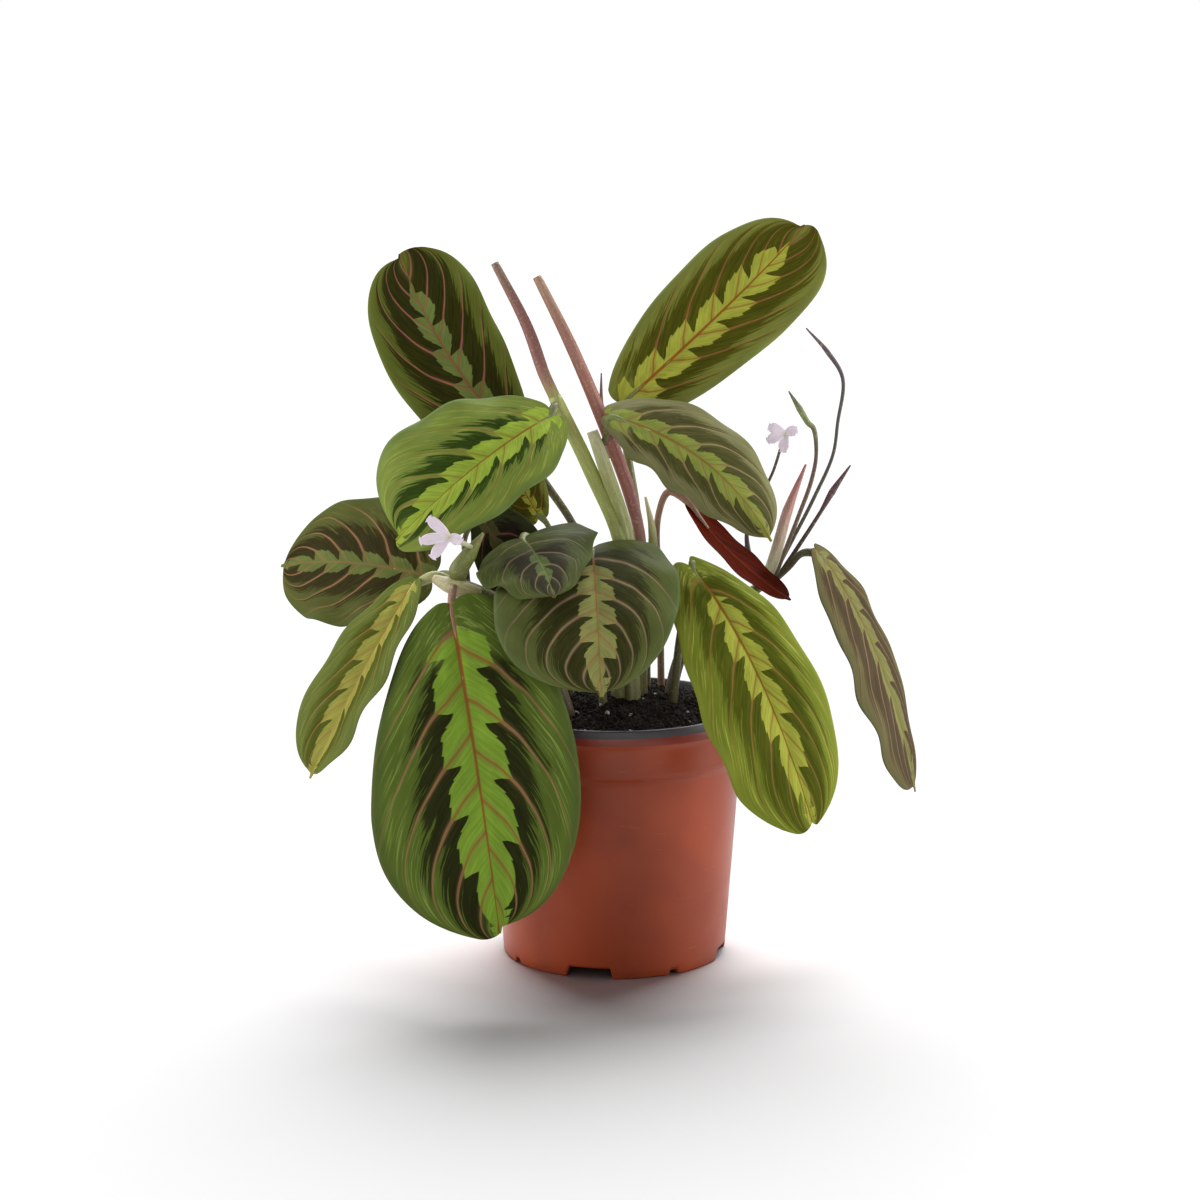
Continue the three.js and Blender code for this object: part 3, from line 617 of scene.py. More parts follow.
# The same for every leaf: sway is how far the veins wander, saw the slope, step and small teeth of the
# light middle and sawEdge how softly it ends, slant and feather form the blotches' outer end, and noGap is
# the gap where a look has none. vein, inMiddle, glow and rib are the strength of the veins, of those in the
# light middle, of the glow round them and of the midrib, ribWidth its width and groove a vein's depth.
patternLook = {
    "sway": 0.035, "saw": (0.25, 0.7, 0.13), "sawEdge": 0.0025, "slant": 0.22, "feather": 0.9, "noGap": -0.2,
    "vein": 0.92, "inMiddle": 0.75, "glow": 0.25, "rib": 0.9, "ribWidth": (0.0065, 0.0022), "groove": 0.6,
}
patternNumbers = (
    "Veins Left", "Veins Right", "Shift Left", "Shift Right", "Centre Narrow", "Centre Wide", "Centre Lean",
    "Centre Start", "Centre End", "Blotch Start", "Blotch Reach", "Blotch Gap", "Vein Width",
)
patternColours = ("Middle", "Blotch", "Field", "Streak", "Edge", "Vein", "Rib")


def veinSweep(out):
    near, far = bladeLook["sweep"]
    return plus(times(out, near), times(calc("POWER", out, 3.0), far))


def veinRoot(s, sweep):
    # where on the midrib the side vein through a point starts, and how far the veins have parted there
    stretch = plus(times(sweep, bladeLook["spread"]), 1.0)
    return calc("DIVIDE", minus(s, times(sweep, 0.5)), stretch), stretch


def veinStreaks(phase, out, t):
    # fine streaks that run along the side veins
    return speckle(joinXYZ(times(phase, 9.0), times(out, 2.2), t), 1.6, 3.0, 0.6)


def leafPattern():
    # the upper side's pattern, from the place along the midrib (x), across (y) and half width (z)
    inputs = {"Place": "Vector", **dict.fromkeys(patternNumbers, "Float")}
    inputs.update(dict.fromkeys(patternColours, "Color"))
    outputs = {"Colour": "Color", "Height": "Float"}
    tree, given, result = newGroup("leafPattern", "ShaderNodeTree", inputs, outputs)
    place = given["Place"]
    s, t, w = splitXYZ(place)
    out = calc("ABSOLUTE", t)
    right = calc("GREATER_THAN", t, 0.0)
    veins, shift = (
        plus(given[name + " Left"], times(right, minus(given[name + " Right"], given[name + " Left"])))
        for name in ("Veins", "Shift")
    )

    # side veins
    sweep = veinSweep(out)
    start, stretch = veinRoot(s, sweep)
    sway = times(minus(speckle(place, 3.0, 1.0), 0.5), patternLook["sway"])
    start = plus(start, sway)
    phase = plus(times(start, veins), shift)
    between = calc("FRACT", phase)
    toVein = minus(0.5, calc("ABSOLUTE", minus(between, 0.5)))
    veinHalf = times(given["Vein Width"], ramp(out, 0.1, 1.0, 0.85, 0.4))
    veinShape = calc("DIVIDE", times(calc("DIVIDE", toVein, veins), stretch), veinHalf)
    pastBase = ramp(start, 0.0, 0.03)
    vein = times(ramp(veinShape, 1.35, 0.65), pastBase, ramp(out, 0.98, 0.72))

    # the light middle, toothed like a saw, each tooth with small ones of its own
    widest = plus(given["Centre Narrow"], given["Centre Wide"])
    sweepThere = veinSweep(calc("MINIMUM", calc("DIVIDE", widest, w), 1.0))
    nearSweep = plus(sweepThere, times(minus(sweep, sweepThere), given["Centre Lean"]))
    nearStart = plus(veinRoot(s, nearSweep)[0], sway)
    sawPhase = plus(times(nearStart, veins), shift)
    along = calc("FRACT", sawPhase)
    slope, step, teeth = patternLook["saw"]
    smallTeeth = calc("POWER", calc("FRACT", times(sawPhase, 4.0)), 1.5)
    saw = plus(times(along, slope), ramp(along, 0.0, 0.45, 0.0, step), times(smallTeeth, teeth))
    reach = plus(times(saw, given["Centre Wide"]), given["Centre Narrow"])
    pastStart = ramp(minus(nearStart, given["Centre Start"]), -0.02, 0.06)
    beforeEnd = ramp(minus(given["Centre End"], s), -0.01, 0.2)
    reach = times(reach, ramp(s, 0.68, 1.0, 1.0, 0.45), pastStart, beforeEnd)
    across = times(out, w)
    light = ramp(minus(across, reach), patternLook["sawEdge"], -patternLook["sawEdge"])

    fineStreaks = veinStreaks(phase, out, t)
    broadStreaks = minus(speckle(joinXYZ(times(phase, 3.0), times(out, 2.0), t), 1.5), 0.5)

    # dark blotches between the veins, feathered at their outer end
    slant = times(minus(between, 0.5), patternLook["slant"])
    feather = times(minus(fineStreaks, 0.5), patternLook["feather"])
    dark = times(
        ramp(minus(out, plus(given["Blotch Reach"], slant, feather)), 0.05, -0.06),
        ramp(minus(plus(s, times(broadStreaks, 0.15)), given["Blotch Start"]), -0.03, 0.05),
        ramp(start, 0.93, 0.8),
        ramp(minus(plus(toVein, times(broadStreaks, 0.25)), given["Blotch Gap"]), -0.03, 0.03),
    )

    # layers of colour, from the field up
    bright = times(ramp(fineStreaks, 0.5, 0.68), ramp(out, 1.0, 0.75))
    colour = blend(bright, given["Field"], given["Streak"])
    colour = blend(ramp(out, 0.82, 1.0), colour, given["Edge"])
    blotchTone = ramp(fineStreaks, 0.3, 0.7, 0.75, 1.3)
    colour = blend(dark, colour, blend(1.0, given["Blotch"], blotchTone, "MULTIPLY"))
    middleTone = ramp(fineStreaks, 0.3, 0.7, 0.82, 1.12)
    colour = blend(light, colour, blend(1.0, given["Middle"], middleTone, "MULTIPLY"))
    glow = times(ramp(veinShape, 3.2, 0.8), pastBase, patternLook["glow"])
    colour = blend(glow, colour, given["Vein"])
    outside = times(vein, minus(1.0, light))
    inMiddle = times(ramp(veinShape, 0.9, 0.4), light, pastBase, patternLook["inMiddle"])
    veinMask = times(calc("MAXIMUM", outside, inMiddle), patternLook["vein"])
    colour = blend(veinMask, colour, blend(light, given["Vein"], given["Rib"]))
    ribWidth = ramp(s, 0.0, 1.0, *patternLook["ribWidth"])
    rib = times(ramp(calc("DIVIDE", across, ribWidth), 1.4, 0.6), patternLook["rib"])
    colour = blend(rib, colour, given["Rib"])
    cloud = ramp(speckle(place, 5.0, 3.0), 0.3, 0.7, 0.9, 1.08)
    plug(blend(1.0, colour, cloud, "MULTIPLY"), result["Colour"])
    plug(minus(fineStreaks, times(vein, patternLook["groove"])), result["Height"])
    return tree


patternGroup = leafPattern()


def upperMaterial(name, look):
    material, shader = newMaterial(name, roughness=0.6, specular=0.035)
    numbers = (*look["veins"], *look["shift"], *look["centre"], look["lean"], *look["span"],
               look["start"], look["reach"], look.get("gap", patternLook["noGap"]), look["veinWidth"])
    values = dict(zip(patternNumbers + patternColours, (*numbers, *hues(look["colours"]))))
    values["Place"] = attribute("place")
    group = newNode("ShaderNodeGroup")
    group.node_tree = patternGroup
    colour = fill(group, values, "Colour")
    finishMaterial(shader, colour, group.outputs["Height"], strength=0.25, depth=0.0004)
    return material


def undersideMaterial():
    material, shader = newMaterial("leafUnderside", roughness=0.6, specular=0.005)
    place = attribute("place")
    s, t, w = splitXYZ(place)
    out = calc("ABSOLUTE", t)
    start = veinRoot(s, veinSweep(out))[0]
    phase = plus(times(start, undersideLook["veins"]), undersideLook["shift"])
    streaks = veinStreaks(phase, out, t)
    ribs = ramp(calc("ABSOLUTE", minus(calc("FRACT", phase), 0.5)), 0.42, 0.49)
    tissue, greenish, rib = (hue(undersideLook[key]) for key in ("tissue", "greenish", "rib"))
    colour = blend(ramp(streaks, 0.45, 0.75, 0.0, 0.55), tissue, greenish)
    colour = blend(1.0, colour, ramp(speckle(place, 4.0, 3.0), 0.3, 0.7, 0.75, 1.2), "MULTIPLY")
    colour = blend(times(ribs, 0.45), colour, rib)
    colour = blend(times(ramp(times(out, w), 0.013, 0.005), 0.85), colour, rib)
    finishMaterial(shader, colour, plus(ribs, streaks), strength=0.3, depth=0.0004)
    return material


# stalks, sheaths and everything tube shaped

stalkLook = {
    "streakDark": 0.78, "streakLight": 1.15, "ribbing": "4a3a26", "dots": "c9c98e",
    "firstSide": (0.31, 0.95, 0.05), "nudge": 0.002,      # a ring's first point, half a tangent's length
}


def tissueMaterial(name, roughness):
    # the colour comes from the tint painted along each stalk, with fine lengthwise streaks
    material, shader = newMaterial(name, roughness=roughness, specular=0.4)
    along, cosine, sine = splitXYZ(attribute("place"))
    streaks = speckle(joinXYZ(times(along, 18.0), times(cosine, 7.0), times(sine, 7.0)), 1.0, 3.0, 0.6)
    ribbing = speckle(joinXYZ(times(along, 30.0), times(cosine, 26.0), times(sine, 26.0)), 1.0)
    tone = ramp(streaks, 0.3, 0.7, stalkLook["streakDark"], stalkLook["streakLight"])
    colour = blend(1.0, attribute("tint", "Color"), tone, "MULTIPLY")
    colour = blend(ramp(ribbing, 0.55, 0.75, 0.0, 0.3), colour, hue(stalkLook["ribbing"]))
    dots = ramp(speckle(objectPlace(), 900.0), 0.58, 0.7, 0.0, 0.25)
    colour = blend(dots, colour, hue(stalkLook["dots"]))
    finishMaterial(shader, colour, ribbing, strength=0.35, depth=0.0003)
    return material


stalkMaterial = tissueMaterial("stalkTissue", 0.42)
youngMaterial = tissueMaterial("youngLeafTissue", 0.4)
dryMaterial = tissueMaterial("flowerStalkTissue", 0.5)
underMaterial = undersideMaterial()


def pathPoint(points, share):
    # a smooth curve through the points, the same one that the frame's stalks follow
    last = len(points) - 1
    i = min(int(share * last), last - 1)
    x = share * last - i
    before = points[i - 1] if i > 0 else 2 * points[0] - points[1]
    here, there = points[i], points[i + 1]
    after = points[i + 2] if i + 2 <= last else 2 * points[last] - points[last - 1]
    u = (here - before).length ** 0.5
    v = (there - here).length ** 0.5
    w = (after - there).length ** 0.5
    leave = ((here - before) / u - (there - before) / (u + v) + (there - here) / v) * v
    arrive = ((there - here) / v - (after - here) / (v + w) + (after - there) / w) * v
    square = (3 * (there - here) - 2 * leave - arrive) * x * x
    return here + leave * x + square + (2 * (here - there) + leave + arrive) * x ** 3


def stepAt(values, share):
    # the value before this share of the way, and how far it is to the next one
    last = len(values) - 1
    first = min(int(share * last), last - 1)
    return first, share * last - first


def addTube(parts, knots, tints, slot=0, wrap=0.0, wind=0.0, spin=0.0, steps=9, sides=20, bulge=None):
    # knots are x, y, z, radius and tints hex colours along the tube; wrap is the step of a rolled edge, as
    # a share of the radius, wind how far it winds round; bulge is a swelling's place, size and length
    colours = hues(tints)
    points = [Vector(knot[:3]) for knot in knots]
    count = steps * (len(points) - 1)
    side, nudge = Vector(stalkLook["firstSide"]), stalkLook["nudge"]
    rings = []
    for i in range(count + 1):
        share = i / count
        knot, x = stepAt(knots, share)
        radius = knots[knot][3] * (1 - x) + knots[knot + 1][3] * x
        if bulge:
            radius *= 1 + bulge[1] * math.exp(-((share - bulge[0]) / bulge[2]) ** 2)
        first, x = stepAt(colours, share)
        tint = [a + (b - a) * x for a, b in zip(colours[first], colours[first + 1])]
        centre = pathPoint(points, share)
        tangent = pathPoint(points, min(share + nudge, 1)) - pathPoint(points, max(share - nudge, 0))
        tangent.normalize()
        side = (side - tangent * side.dot(tangent)).normalized()
        across = tangent.cross(side)
        ring = []
        for j in range(sides + (1 if wrap else 0)):
            angle = 2 * math.pi * j / sides + spin + wind * share
            size = radius * (1 + wrap * (j / sides - 0.5)) if wrap else radius
            point = centre + side * size * math.cos(angle) + across * size * math.sin(angle)
            ring.append(addPoint(parts, point, (share, math.cos(angle), math.sin(angle)), tint))
        rings.append(ring)
    addSheet(parts, rings, slot, closed=True)
    for ring, centre, flip in ((rings[0], points[0], True), (rings[-1], points[-1], False)):
        hub = addPoint(parts, centre, parts["place"][ring[0]], parts["tint"][ring[0]])
        closeRing(parts, ring, hub, slot, flip)


# the leaves, each blade with its stalk

# Each set of stalk tints runs from the stalk's foot to the blade. The darker tints at the foot are partly
# the stalks' own brown and, where the foot is near the soil, partly painted shade under the leaves.
petioleLook = {
    "plain": "544c2a 6f7a40 8c9a52", "dark": "3e3620 56522e 68683a",
    "pink": "7a5a44 9a7460 a98872", "creamy": "8f9858 b0b078 c3c08c",
    "steps": 10, "sides": 14, "bulge": (2.6, 0.25, 0.12),          # the bulge counts knots from the blade
    "rib": ((0.02, 0.0016), (0.1, 0.0011), (0.22, 0.0005)),        # place and radius under the blade
}

for node, form in leaves.items():
    leaf = {**leafBasics, **form}
    look = leafLooks[leaf["look"]]
    parts = newParts()
    addBlade(parts, leaf, look, bladeLook["rows"], bladeLook["columns"], bladeLook["thickness"])
    knots = list(leaf["petiole"])
    for s, radius in petioleLook["rib"]:
        place, along, up, across = midrib(leaf, s)
        knots.append((*(place - up * 0.8 * radius), radius))
    knotsBack, size, spread = petioleLook["bulge"]
    addTube(parts, knots, petioleLook[leaf["stalk"]], slot=2, steps=petioleLook["steps"],
            sides=petioleLook["sides"], bulge=(1 - knotsBack / (len(knots) - 1), size, spread))
    upper = upperMaterial(pieceName(node) + "Upper", look)
    dress(node, leaf.get("slot", look["slot"]), parts, upper, underMaterial, stalkMaterial)
print("leaves", len(leaves))


# shoots: sheaths grown round each other

# Each set of tints runs up the stalk from its foot. The dark first tints of green, pale and brown are partly
# the stalks' own brown and partly painted shade near the soil, under the leaves.
shootTints = {
    "green": "4c442a 828c4a 9aa254 b0b466", "pale": "5a5236 8a9052 9ca05e c4c096",
    "brown": "4a3a26 5e5030 6e6a3a 6f7440", "cream": "9a9462 c0ba88 cec69a b8a878",
    "olive": "5c6030 6c7238 7c8446 8f8f58", "rosy": "b3b386 c9c3a0 b98a80 a8635c",
}
shoots = {
    "shoot_centre": [
        ("green", [
            (0.002, -0.015, 0.098, 0.004), (0.002, -0.015, 0.15, 0.0038), (0.003, -0.01, 0.19, 0.0036),
            (-0.011, -0.005, 0.224, 0.0033), (-0.027, -0.002, 0.257, 0.003),
        ]),
        ("pale", [
            (0.009, -0.015, 0.098, 0.004), (0.007, -0.014, 0.15, 0.0038), (0.006, -0.008, 0.191, 0.0036),
            (-0.004, -0.008, 0.225, 0.0032), (-0.01, -0.007, 0.242, 0.0026),
        ]),
        ("pale", [
            (0.012, -0.01, 0.098, 0.0034), (0.012, -0.009, 0.15, 0.0032), (0.017, -0.002, 0.183, 0.0024),
            (0.017, 0, 0.196, 0.0018), (0.014, 0.002, 0.211, 0.0006),
        ]),
    ],
    "shoot_left": [
        ("brown", [
            (-0.02, -0.03, 0.098, 0.004), (-0.022, -0.031, 0.118, 0.004), (-0.034, -0.036, 0.146, 0.004),
            (-0.051, -0.038, 0.168, 0.0042), (-0.071, -0.037, 0.178, 0.0034),
        ]),
        ("cream", [
            (-0.06, -0.0395, 0.173, 0.0036), (-0.068, -0.041, 0.176, 0.0042),
            (-0.075, -0.04, 0.1785, 0.0032), (-0.08, -0.038, 0.1805, 0.0019),
        ]),
        ("olive", [
            (-0.069, -0.037, 0.177, 0.0028), (-0.069, -0.0395, 0.184, 0.0044),
            (-0.064, -0.0405, 0.192, 0.0034), (-0.058, -0.041, 0.201, 0.0007),
        ]),
    ],
    "shoot_right": [
        ("brown", [
            (0.025, -0.003, 0.098, 0.003), (0.026, -0.003, 0.123, 0.003), (0.034, 0, 0.145, 0.0028),
            (0.055, 0.004, 0.161, 0.0026), (0.073, 0.005, 0.174, 0.0022),
        ]),
        ("rosy", [
            (0.068, 0.005, 0.169, 0.0024), (0.073, 0.006, 0.182, 0.0028), (0.079, 0.007, 0.204, 0.0024),
            (0.087, 0.008, 0.225, 0.0005),
        ]),
    ],
}
for node, stalks in shoots.items():
    parts = newParts()
    for number, (tone, knots) in enumerate(stalks):
        addTube(parts, knots, shootTints[tone], wrap=0.12, wind=0.5, spin=1.1 + 2.3 * number)
    dress(node, "sheath", parts, stalkMaterial)
print("shoots")


# young leaves still rolled into spikes, with the free edge winding round them

rolledLeaves = {
    "rolled_leaf_left": {
        "wind": 2.6, "tints": "a2aa58 967458 865650 84544e 825a50 826a56",
        "knots": [
            (-0.026, -0.002, 0.255, 0.0027), (-0.032, 0, 0.268, 0.0028), (-0.04, 0.004, 0.289, 0.0024),
            (-0.054, 0.008, 0.316, 0.0018),
        ],
    },
    "rolled_leaf_right": {
        "wind": 3.4, "tints": "90785f 98705f 8a544e 92584f 985e55 9a6256 98685a a4846a",
        "knots": [
            (0.01, -0.009, 0.168, 0.002), (0.012, -0.0035, 0.19, 0.0026), (0.007, -0.0015, 0.212, 0.0029),
            (-0.002, -0.0005, 0.237, 0.003), (-0.007, -0.001, 0.25, 0.003), (-0.02, 0.002, 0.28, 0.0027),
            (-0.035, 0.006, 0.31, 0.0021),
        ],
    },
}
for node, roll in rolledLeaves.items():
    parts = newParts()
    addTube(parts, wrap=0.22, spin=3.6, steps=12, sides=28, **roll)
    dress(node, "young_leaf", parts, youngMaterial)
print("rolled leaves")


# flower stalks and their bracts

thinStalks = {
    "needle_sheath": {
        "tints": "7a6a58 6a5850 6e5c58",
        "knots": [
            (-0.003, 0.006, 0.228, 0.001), (-0.005, 0.004, 0.244, 0.0011),
            (-0.006, 0.0035, 0.255, 0.0009), (-0.006, 0.004, 0.267, 0.00035),
        ],
    },
    "flower_stalk_short": {
        "tints": "4a3a34 4c3c38 5c3c40 5a3e44",
        "knots": [
            (0.076, 0.004, 0.176, 0.001), (0.084, 0.005, 0.188, 0.001), (0.094, 0.005, 0.204, 0.0009),
            (0.099, 0.005, 0.213, 0.0016), (0.107, 0.005, 0.225, 0.0004),
        ],
    },
    "flower_stalk_bract": {
        "tints": "5a4a38 6a5444 5c4a40 6a6a44 7c8a50 5e5a4c",
        "knots": [
            (0.073, 0.008, 0.172, 0.0011), (0.084, 0.012, 0.2, 0.001), (0.09, 0.013, 0.217, 0.001),
            (0.092, 0.013, 0.229, 0.0009), (0.0905, 0.012, 0.241, 0.0012), (0.088, 0.011, 0.2435, 0.0013),
            (0.084, 0.011, 0.25, 0.0015), (0.079, 0.011, 0.258, 0.00035),
        ],
    },
    "flower_stalk_tall": {
        "tints": "4a4238 4e4a3e 4c463e 54484a 6a5660",
        "knots": [
            (0.071, 0.009, 0.17, 0.001), (0.082, 0.017, 0.189, 0.0009), (0.092, 0.018, 0.209, 0.0009),
            (0.1, 0.018, 0.228, 0.0008), (0.102, 0.018, 0.243, 0.0008), (0.104, 0.018, 0.263, 0.0009),
            (0.097, 0.018, 0.275, 0.0012), (0.087, 0.018, 0.286, 0.00035),
        ],
    },
    "flower_stalk_bud": {
        "tints": "4a3c34 4c3e38 54463e 5a4c44",
        "knots": [
            (0.066, 0.007, 0.167, 0.0009), (0.062, 0.017, 0.181, 0.0015), (0.061, 0.018, 0.194, 0.0008),
            (0.064, 0.016, 0.203, 0.0007), (0.072, 0.0095, 0.221, 0.0007),
            (0.0758, 0.0077, 0.2339, 0.0007),
        ],
    },
}
for node, stalk in thinStalks.items():
    parts = newParts()
    addTube(parts, steps=8, sides=12, **stalk)
    dress(node, "flower_stalk", parts, dryMaterial)
print("flower stalks")


# flowers

petalLook = {
    "width": 0.005, "thickness": 0.0004, "rows": 16, "columns": 5,
    "tissue": "ecdfe8", "flush": "ccb2ca", "throat": "d8d49a",
    "tube": "e8e2d8 b9bd84", "tubeRadii": (0.0015, 0.001),
}
petalForm = {
    **leafBasics, "bow": (0, -0.0006, 0.0004), "face": (-0.2, -0.95, 0.2), "widest": (0.65, 0.65),
    "roundness": (2, 2), "neck": (0.3, 0.3), "lobe": (0, 0), "fold": (10, 10), "curl": (-12, -12),
}
# each petal is the way it points and its length
flowers = {
    "flower_left": {
        "throat": (-0.072, -0.06, 0.2025), "tubeEnd": (-0.063, -0.0448, 0.1955),
        "petals": [
            ((-0.75, -0.1, 0.7), 0.0125), ((-1, -0.1, -0.15), 0.013), ((-0.6, -0.2, -0.75), 0.012),
            ((0.8, 0.1, -0.4), 0.006),
        ],
    },
    "flower_right": {
        "throat": (0.077, 0.003, 0.2395), "tubeEnd": (0.0759, 0.0076, 0.2343),
        "petals": [
            ((-1, -0.1, 0.45), 0.0085), ((-0.9, -0.2, -0.35), 0.009), ((-0.1, -0.2, -1), 0.0085),
            ((0.9, -0.1, 0.3), 0.006),
        ],
    },
}


def petalMaterial():
    material, shader = newMaterial("petal", roughness=0.55, specular=0.3)
    s, t = splitXYZ(attribute("place"))[:2]
    streaks = speckle(joinXYZ(times(t, 5.0), times(s, 1.2), 0.0), 2.0)
    tissue, flush, throat = (hue(petalLook[key]) for key in ("tissue", "flush", "throat"))
    colour = blend(ramp(streaks, 0.45, 0.7, 0.05, 0.55), tissue, flush)
    colour = blend(ramp(s, 0.22, 0.0, 0.0, 0.7), colour, throat)
    finishMaterial(shader, colour, streaks, strength=0.2, depth=0.0002)
    return material


petalTissue = petalMaterial()
for node, flower in flowers.items():
    parts = newParts()
    throat = Vector(flower["throat"])
    for direction, length in flower["petals"]:
        half = petalLook["width"] / 2
        tip = throat + Vector(direction).normalized() * length
        petal = {**petalForm, "base": throat, "tip": tip, "half": (half, half)}
        addBlade(parts, petal, None, petalLook["rows"], petalLook["columns"], petalLook["thickness"], (0, 0))
    wide, narrow = petalLook["tubeRadii"]
    knots = ((*flower["throat"], wide), (*flower["tubeEnd"], narrow))
    addTube(parts, knots, petalLook["tube"], slot=1, steps=6, sides=12)
    dress(node, "petal", parts, petalTissue, stalkMaterial)
print("flowers")


# nursery pot

pot = {
    "height": 0.116, "rimRadius": 0.06, "bodyRadius": 0.058, "footRadius": 0.0513, "footEdge": 0.0008,
    "collarBottom": 0.093, "collarTop": 0.1084, "lipStart": 0.1121, "wall": 0.0015,
    "floorTop": 0.008, "floorUnder": 0.0055, "padRadius": 0.014, "segments": 240,
    "cutInner": 0.04, "cutTop": 0.0052,          # the foot ring that the notches and dents are cut from
    "dents": 0.00035, "dentScale": 9, "dentSeed": 4,
    "drainRing": 0.033, "drainRadius": 0.0035, "drainCount": 8, "drainSides": 32,
    "outer": "963f20", "deep": "763019", "band": "6e2f28", "scuff": "d09078", "dust": "5a3a2c",
    "inner": "141312", "lip": "3a3738", "liningDust": "6a6462",
}
# first is the first notch's turn round the pot, in degrees
notches = (
    {"first": 257, "count": 4, "width": 0.022, "topWidth": 0.019, "height": 0.005},
    {"first": 301, "count": 4, "width": 0.0045, "topWidth": 0.0035, "height": 0.0024},
)


def notchTurns(notch):
    return [math.radians(notch["first"] + 360 * i / notch["count"]) for i in range(notch["count"])]


def notchHeight(angle):
    # how high the pot's lower edge is cut away at this angle
    height = 0.0
    for notch in notches:
        slope = (notch["width"] - notch["topWidth"]) / 2
        for turn in notchTurns(notch):
            off = abs((angle - turn + math.pi) % (2 * math.pi) - math.pi) * pot["footRadius"]
            height = max(height, notch["height"] * limit((notch["width"] / 2 - off) / slope))
    return height


def potAngles():
    # even steps round the pot, with close pairs at the corners of each notch
    angles = {round(2 * math.pi * i / pot["segments"], 5) for i in range(pot["segments"])}
    for notch in notches:
        for turn in notchTurns(notch):
            for half in (notch["width"] / 2, notch["topWidth"] / 2):
                for sign in (-1, 1):
                    angles.add(round((turn + sign * half / pot["footRadius"]) % (2 * math.pi), 5))
    return sorted(angles)


def wallRadius(z):
    share = limit((z - pot["footEdge"]) / (pot["collarBottom"] - pot["footEdge"]))
    return pot["footRadius"] + (pot["bodyRadius"] - pot["footRadius"]) * share


def potProfile():
    # radius and height, from the pad underneath up the outside, and over the lip down the inside
    foot, rim, pad, edge = pot["footRadius"], pot["rimRadius"], pot["padRadius"], pot["footEdge"]
    low, top, band, under = pot["collarBottom"], pot["height"], pot["collarTop"], pot["floorUnder"]
    outside = [(0.0, 0.0), (pad, 0.0), (pad + 0.0012, 0.0006), (pad + 0.002, under), (0.03, under),
               (0.038, under), (foot - 0.0048, under), (foot - 0.0038, 0.0004), (foot - 0.0034, 0.0),
               (foot - 0.0009, 0.0), (foot - 0.0003, 0.0002), (foot, edge)]
    for i in range(1, 24):
        z = edge + (low - edge) * i / 24
        outside.append((wallRadius(z), z))
    outside += [(pot["bodyRadius"], low - 0.0002), (pot["bodyRadius"] + 0.0003, low),
                (rim - 0.0012, low + 0.0003), (rim - 0.0009, low + 0.0008)]
    for i in range(1, 6):
        outside.append((rim - 0.0009 + 0.0001 * i / 6, low + 0.0008 + (band - low - 0.0012) * i / 6))
    outside += [(rim - 0.0007, band - 0.0002), (rim - 0.0002, band + 0.0001),
                (rim - 0.0001, band + 0.0006), (rim, pot["lipStart"])]
    wall, inside = pot["wall"], pot["floorTop"]
    lining = [(rim - 0.0001, pot["lipStart"] + 0.0003), (rim, pot["lipStart"] + 0.0007), (rim, top - 0.0008),
              (rim - 0.0003, top - 0.0002), (rim - 0.0007, top), (rim - 0.0015, top),
              (rim - 0.0019, top - 0.0002), (rim - 0.0021, top - 0.0007), (rim - 0.0024, band),
              (pot["bodyRadius"] - wall, low - 0.001), (foot - wall, inside + 0.0015),
              (foot - wall - 0.0015, inside), (0.038, inside), (0.03, inside), (0.0, inside)]
    return outside, lining


def makePot(materials):
    parts = newParts()
    angles = potAngles()
    outside, lining = potProfile()
    scale = pot["dentScale"]
    grid = []
    for radius, z in outside + lining:
        row = []
        for angle in angles:
            r, height = radius, z
            if radius > pot["cutInner"] and z < pot["cutTop"]:
                spot = Vector((scale * math.cos(angle), scale * math.sin(angle), pot["dentSeed"]))
                dent = pot["dents"] * max(noise.noise(spot), 0)
                height = max(z, notchHeight(angle) + 0.3 * z, dent + z)
                if radius >= pot["footRadius"]:
                    r = wallRadius(height)
            row.append(addPoint(parts, (r * math.cos(angle), r * math.sin(angle), height)))
        grid.append(row)
    lip = len(outside)      # the outside's plastic reaches up to the lining's first row
    addSheet(parts, grid[:lip + 1], 0, closed=True)
    addSheet(parts, grid[lip:], 1, closed=True)
    body = makeObject("pot", parts, materials)
    work = bmesh.new()
    work.from_mesh(body.data)
    bmesh.ops.remove_doubles(work, verts=work.verts, dist=1e-6)
    bmesh.ops.recalc_face_normals(work, faces=work.faces)
    work.to_mesh(body.data)
    work.free()
    return body


def drillDrains(body):
    cutter = bmesh.new()
    ring, radius, depth = pot["drainRing"], pot["drainRadius"], pot["floorTop"]
    for i in range(pot["drainCount"]):
        angle = 2 * math.pi * i / pot["drainCount"]
        move = Matrix.Translation((ring * math.cos(angle), ring * math.sin(angle), depth))
        bmesh.ops.create_cone(cutter, cap_ends=True, segments=pot["drainSides"], radius1=radius,
                              radius2=radius, depth=depth, matrix=move)
    mesh = bpy.data.meshes.new("drains")
    cutter.to_mesh(mesh)
    cutter.free()
    drains = addObject("drains", mesh)
    cut = body.modifiers.new("drains", "BOOLEAN")
    cut.object = drains
    cut.operation = "DIFFERENCE"
    cut.solver = "EXACT"
    body.data = frozenMesh(body)
    bpy.data.objects.remove(drains)


def frozenMesh(thing):
    # the object's mesh with its modifiers applied, which then come off
    graph = bpy.context.evaluated_depsgraph_get()
    mesh = bpy.data.meshes.new_from_object(thing.evaluated_get(graph), depsgraph=graph)
    thing.modifiers.clear()
    return mesh


